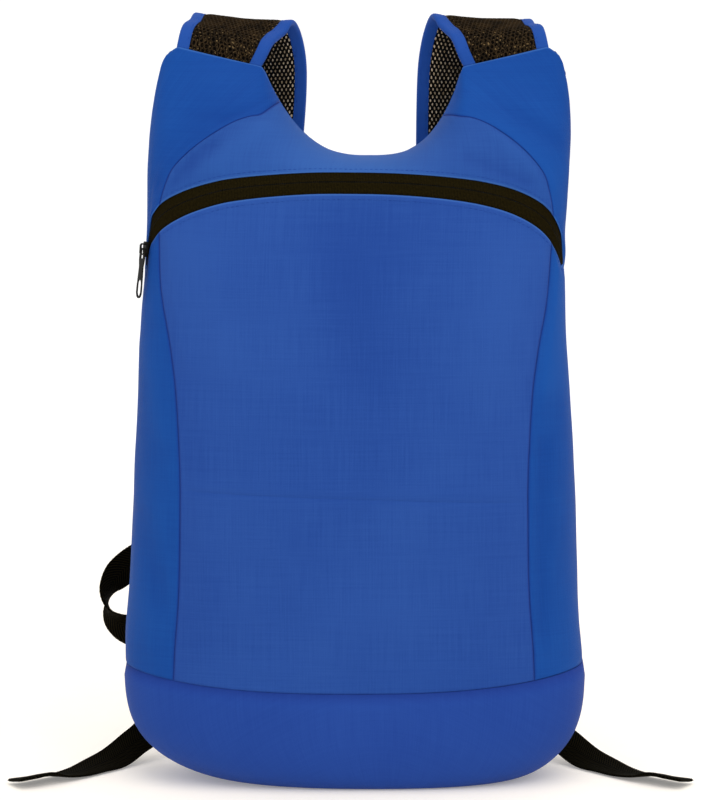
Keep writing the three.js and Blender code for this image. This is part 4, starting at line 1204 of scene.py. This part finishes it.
def strap_band(sign, step, start=0.0):
    """The strap's middle face; both straps roll the same way, so the left tilts out and the right in."""
    rows = table_rows(STRAP_COLUMNS, STRAP_ROWS, ("tilt", "roll"))
    tilt = np.radians(rows[:, 0] - sign * rows[:, 1])
    widths = np.stack([np.cos(tilt), np.zeros_like(tilt), np.sin(tilt)], 1)
    points = table_rows(STRAP_COLUMNS, STRAP_ROWS, ("x", "y", "z"))
    return Band(points, widths, step, table_rows(STRAP_COLUMNS, STRAP_ROWS, ("width", "thick")), start)


STRAPS = {sign: strap_band(sign, 1.6) for _, sign in SIDES}


def pad_height(across, width, thick):
    """Half the pad's thickness at a place across it: crowned, and pinched under the bindings."""
    inward = width / 2 - np.abs(across)
    crown = 0.5 * thick + 0.5 * np.clip(thick - 1.6, 0, 1) * ease(inward, 6, 24)
    return crown * mix(BINDING.pinch, 1, ease(inward, 2, 10))


def strap_pad(name, sign):
    """The thin pad inside the net, crowned across and drawn in along its bindings."""
    strap = STRAPS[sign]
    turn = np.linspace(0, 2 * math.pi, 48, endpoint=False)
    flat, rise = np.sign(np.cos(turn)) * np.abs(np.cos(turn)) ** 0.5, np.sin(turn)
    reach = strap.width / 2 - BINDING.gap - BINDING.thick
    across = reach[:, None] * flat
    quilt = 0.12 * soft_noise(strap.run[:, None] / 14, across / 12, 3)
    half = pad_height(across, strap.width[:, None], strap.thick[:, None])
    out = (half - PAD_SINK + quilt) * np.sign(rise) * np.abs(rise) ** 0.2
    weave = np.stack(np.broadcast_arrays(across, strap.run[:, None]), -1)
    marks = {"outside": np.broadcast_to(np.sign(rise) > 0, out.shape).astype(float).ravel()}
    piece = swept(f"strap_pad_{name}", strap.rings(across, out), weave, PAD_CLOTH, sign, marks)
    dress(piece, f"strap_mesh_{name}")


def net_cells(face, sign):
    """Six-sided cells in staggered rows over one face of the strap, as a seed mesh."""
    strap = STRAPS[sign]
    rows = int(strap.length / NET.along) - 1
    columns = int(strap.width.max() / NET.across) + 2
    row, column = np.meshgrid(np.arange(1, rows), np.arange(-columns // 2, columns // 2 + 1), indexing="ij")
    middle_run = row * NET.along
    middle_across = (column + 0.5 * (row % 2)) * NET.across
    limit = np.interp(middle_run, strap.run, strap.width / 2) - NET.under
    keep = np.abs(middle_across) < limit
    long, short = NET.along * 2 / 3, NET.along / 3
    half = NET.across / 2
    right = [(half, short), (half, -short)]
    corners = np.array([(0, long), *right, (0, -long), (-half, -short), (-half, short)])
    across = middle_across[keep][:, None] + corners[:, 0]
    run = middle_run[keep][:, None] + corners[:, 1]
    width = np.interp(run, strap.run, strap.width)
    inward = width / 2 - np.abs(across)
    lift = NET.lift * ease(inward, BINDING.width - 1, BINDING.width + 5)
    height = pad_height(across, width, np.interp(run, strap.run, strap.thick)) + lift
    points = on_side(strap.at(run, across, face * height), sign).reshape(-1, 3)
    keys = np.round(np.stack([across / half, run / short], -1).reshape(-1, 2)).astype(int)
    _, first, same = np.unique(keys, axis=0, return_index=True, return_inverse=True)
    faces = same.reshape(-1, 6)
    faces = faces if face * sign < 0 else faces[:, ::-1]
    mesh = bpy.data.meshes.new("net cells")
    mesh.from_pydata((points[first] * MM).tolist(), [], faces.tolist())
    return mesh


def strap_net(name, sign):
    """The net over both faces of the strap."""
    for place, face in (("outside", 1), ("inside", -1)):
        values = {"Hole": NET_HOLE[place].share, "Narrow": NET_HOLE[place].narrow, "Yarn": NET_YARN[place]}
        values.update({"Crown": NET.crown * MM, "Wall": NET.wall * MM})
        piece = grown(f"strap_net_{name}_{place}", net_cells(face, sign), OPEN_NET, values)


def strap_bindings(name, sign):
    """Tape folded over each long edge of the strap, with a row of stitches near its lips."""
    band = strap_band(sign, 1.5, BINDING.start)
    wave = BINDING.wave * np.sin(band.run * 2 * math.pi / BINDING.wave_length)
    wave = wave + BINDING.uneven * soft_noise(band.run / 7, np.zeros_like(band.run), 8)
    outside = band.width / 2
    lip = outside - BINDING.width
    inside = band.thick / 2 * BINDING.pinch + BINDING.gap
    skinned = inside + BINDING.thick
    fold = np.linspace(-math.pi / 2, math.pi / 2, 11)
    lines = []
    for place, reach in (("outer", 1), ("inner", -1)):
        flat = np.linspace(0, 1, 7)[:-1]
        off = (flat * BINDING.width - BINDING.stitch_inset) / BINDING.press_width
        press = BINDING.press * np.exp(-(off**2))
        turn_across = (outside - skinned)[:, None] + skinned[:, None] * np.cos(fold)
        turn_out = skinned[:, None] * np.sin(fold)
        lower_across = mix(lip[:, None], (outside - skinned)[:, None], flat)
        lower_out = -skinned[:, None] + press - wave[:, None] * (1 - flat)
        upper_across, upper_out = lower_across[:, ::-1], -lower_out[:, ::-1]
        outer_across = np.concatenate([lower_across, turn_across, upper_across], 1)
        outer_out = np.concatenate([lower_out, turn_out, upper_out], 1)
        drawn_in = turn_across - BINDING.thick * np.cos(fold)
        inner_across = np.concatenate([lower_across, drawn_in, upper_across], 1)
        shrink = 1 - BINDING.thick / np.maximum(np.abs(outer_out), BINDING.thick + 0.2)
        inner_out = outer_out * shrink
        across = np.concatenate([outer_across, inner_across[:, ::-1]], 1) * reach
        out = np.concatenate([outer_out, inner_out[:, ::-1]], 1)
        weave = np.stack(np.broadcast_arrays(across + out, band.run[:, None]), -1)
        rings = band.rings(across, out)
        piece = swept(f"strap_binding_tape_{name}_{place}", rings, weave, BINDING_CLOTH, sign)
        dress(piece, f"strap_binding_{name}_{place}")
        row = reach * (lip + BINDING.stitch_inset)
        for face in (1, -1):
            points = on_side(band.at(band.run, row, face * (skinned - 0.2)), sign)
            lift = unit(on_side(band.at(band.run, row, face * (skinned + 1)), sign) - points)
            lines.append((points, lift))
    beads_along(f"binding_stitches_{name}", lines, BINDING_STITCH, BLUE_THREAD)


def flat_section(width, thick, ends=8):
    """Half turns of a flat rounded outline: places across it and heights, each from -1 to 1."""
    turn = np.linspace(0, 2 * math.pi, 4 * ends, endpoint=False)
    across = np.sign(np.cos(turn)) * np.abs(np.cos(turn)) ** 0.42
    out = np.sign(np.sin(turn)) * np.abs(np.sin(turn)) ** 0.32
    return across * width / 2, out * thick / 2


def webbing_rings(band, fold_end=False):
    """Rings of a woven band with slanting ribs, thicker where its end is folded back and sewn."""
    across, out = flat_section(WEBBING.width, WEBBING.thick)
    left = band.length - band.run
    folded, tip = np.zeros_like(left), np.ones_like(left)
    if fold_end:
        folded = ease(left, WEBBING.fold + 1.2, WEBBING.fold - 1.2)
        tip = np.sqrt(np.clip(1 - np.clip(1 - left / 1.5, 0, 1) ** 2, 0.05, 1))
    grow = (1 + folded * (WEBBING.fold_thick / WEBBING.thick - 1)) * tip
    slant = np.sin(2 * math.pi * (band.run[:, None] / WEBBING.rib + WEBBING.slant * np.abs(across)))
    rib = WEBBING.rib_depth * slant * np.sign(out)
    at_edge = np.abs(across) > 0.95 * WEBBING.width / 2
    scallop = WEBBING.edge * np.sin(2 * math.pi * band.run[:, None] / WEBBING.rib) * at_edge
    heights = out * grow[:, None] + rib
    places = across + scallop * np.sign(across)
    weave = np.stack(np.broadcast_arrays(places, band.run[:, None]), -1)
    return band.rings(places, heights), weave


END = STRAPS[1]
STRAP_END = Sizes(origin=END.origin[-1], across=END.across[-1], along=END.along[-1], normal=END.normal[-1])


def end_point(down, out):
    return STRAP_END.origin + STRAP_END.along * down + STRAP_END.normal * out


def bar_turn(face):
    """The half turn over the adjuster's lowest bar, rows from its middle."""
    turns = [0.5 * math.pi * step for step in (0.12, 0.55, 1)]
    rows = [end_point(LOCK_BAR - TAB.half * math.cos(t), face * TAB.half * math.sin(t)) for t in turns]
    return [*rows, end_point(LOCK_BAR + 6, face * TAB.half)]


def webbing_band(route, face, to_lock, step=0.38):
    turn = bar_turn(face)
    points = list(table_rows(ROUTE_COLUMNS, route, ("x", "y", "z")))
    widths = list(table_rows(ROUTE_COLUMNS, route, ("wx", "wy", "wz")))
    level = [STRAP_END.across] * len(turn)
    if to_lock:
        return Band(points + turn[::-1], widths + level, step)
    return Band(turn + points, level + widths, step)


def webbings(name, sign):
    """The webbing from the side seam to the adjuster, and its loose tail from there to the floor."""
    outer_face = 1 if STRAP_END.normal[1] > 0 else -1
    lower = webbing_band(LOOP_ROUTE if sign < 0 else STRAIGHT_ROUTE, -outer_face, True)
    piece = swept(f"webbing_band_{name}", *webbing_rings(lower), WEBBING_BLACK, sign)
    dress(piece, f"webbing_{name}")
    route = [(x + TAIL_SHIFT[name], *rest) for x, *rest in TAIL_ROUTE]
    tail = webbing_band(route, outer_face, False)
    piece = swept(f"webbing_tail_end_{name}", *webbing_rings(tail, True), WEBBING_BLACK, sign)
    path = on_side(tail.origin[::6], sign) * MM
    dress(piece, f"webbing_tail_{name}")
    rows = []
    for row in TAIL_STITCH.rows:
        across = np.linspace(-TAIL_STITCH.reach, TAIL_STITCH.reach, 12)
        run = np.full_like(across, tail.length - (WEBBING.fold - row))
        points = on_side(tail.at(run, across, np.full_like(across, WEBBING.fold_thick / 2)), sign)
        lift = unit(on_side(tail.at(run, across, np.full_like(across, WEBBING.fold_thick)), sign) - points)
        rows.append((points, lift))
    beads_along(f"tail_stitches_{name}", rows, TAIL_STITCH, BLACK_THREAD)


def strap_tab(name, sign):
    """The webbing loop that laps over the strap's end and holds the adjuster's top bar."""
    turns = np.linspace(0, math.pi, 9)
    line = [(-TAB.lap, TAB.half), (-TAB.lap / 2, TAB.half), (0, TAB.half)]
    line += [(TAB.drop + TAB.half * math.sin(t), TAB.half * math.cos(t)) for t in turns]
    line += [(0, -TAB.half), (-TAB.lap / 2, -TAB.half), (-TAB.lap, -TAB.half)]
    points = [end_point(down, out) for down, out in line]
    band = Band(points, [STRAP_END.across] * len(points), 0.4)
    piece = swept(f"strap_tab_loop_{name}", *webbing_rings(band), WEBBING_BLACK, sign)
    dress(piece, f"strap_tab_{name}")


# Stage


def make_camera():
    camera = linked("camera", bpy.data.cameras.new("camera"))
    camera.data.lens = VIEW.lens
    camera.data.sensor_width = VIEW.sensor
    rise = math.radians(VIEW.rise_deg)
    back = Vector((0, -math.cos(rise), math.sin(rise)))
    camera.location = (Vector(VIEW.target) + back * VIEW.distance) * MM
    camera.rotation_mode = "QUATERNION"
    camera.rotation_quaternion = (-back).to_track_quat("-Z", "Y")
    bpy.context.scene.camera = camera


def area_light(name, place, target, size, power):
    light = bpy.data.lights.new(name, "AREA")
    light.shape = "RECTANGLE"
    light.size, light.size_y = size
    light.energy = power
    lamp = linked(name, light)
    lamp.location = place
    lamp.rotation_mode = "QUATERNION"
    lamp.rotation_quaternion = (Vector(target) - Vector(place)).to_track_quat("-Z", "Y")


def make_stage():
    """A wide pale floor with a painted warm shadow tint near the bag, a bright room and soft lights."""
    corners = [(-1, -1), (1, -1), (1, 1), (-1, 1)]
    points = [(FLOOR.reach * x, FLOOR.reach * y, -FLOOR.drop) for x, y in corners]
    mesh = bpy.data.meshes.new("floor")
    mesh.from_pydata(points, [], [(0, 1, 2, 3)])
    finish = Finish("pale floor")
    grain = finish.noise(finish.here(), 40.0, 2.0)
    # Painted shadow tint: the floor is warmer and a little darker near the bag, so its shadow there looks
    # warm
    warm = finish.blend(grain, (0.91, 0.84, 0.74, 1), (0.94, 0.87, 0.77, 1))
    away = finish.node("ShaderNodeVectorMath", {"operation": "LENGTH"}, {0: finish.here()}, 1)
    pale = finish.blend(away.step(FLOOR.warm, FLOOR.white), warm, (0.97, 0.97, 0.97, 1))
    finish.set(base_color=pale, roughness=0.9)
    finish.set(emission_color=(1, 0.98, 0.96, 1), emission_strength=0.22)
    mesh.materials.append(finish.material)
    linked("floor", mesh)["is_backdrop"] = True
    world = bpy.data.worlds.new("room")
    world.use_nodes = True
    background = world.node_tree.nodes["Background"]
    background.inputs["Color"].default_value = (1, 1, 1, 1)
    background.inputs["Strength"].default_value = 0.85
    bpy.context.scene.world = world
    bpy.context.scene.view_settings.view_transform = "Standard"
    area_light("key", (0.7, -2.4, 2.3), (0, 0, 0.2), (2.4, 2.4), 26)
    area_light("top", (0.1, -0.3, 2.6), (0, 0, 0.2), (2.0, 2.0), 18)


def make_backpack():
    panels = make_panels()
    make_base()
    zip_tape("zip_tape_above", "zip_tape_upper", 1)
    zip_tape("zip_tape_below", "zip_tape_lower", -1)
    zip_ribs()
    zip_topstitch(panels)
    bevelled_copy("slider_body", "zip_slider", BAG, 0.2, SLIDER_METAL)
    bevelled_copy("slider_pull", "zip_pull", "zip_pull", 0.16, SLIDER_METAL)
    for name, sign in SIDES:
        strap_pad(name, sign)
        strap_net(name, sign)
        strap_bindings(name, sign)
        strap_tab(name, sign)
        bevelled_copy(f"adjuster_{name}", f"ladder_lock_{name}", BAG, 0.6, LOCK_PLASTIC)


make_camera()
for side_name, side_sign in SIDES:
    webbings(side_name, side_sign)
make_backpack()
make_stage()

{"cad": CAD_BOUNDS, "visual": [list(corner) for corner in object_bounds()]}
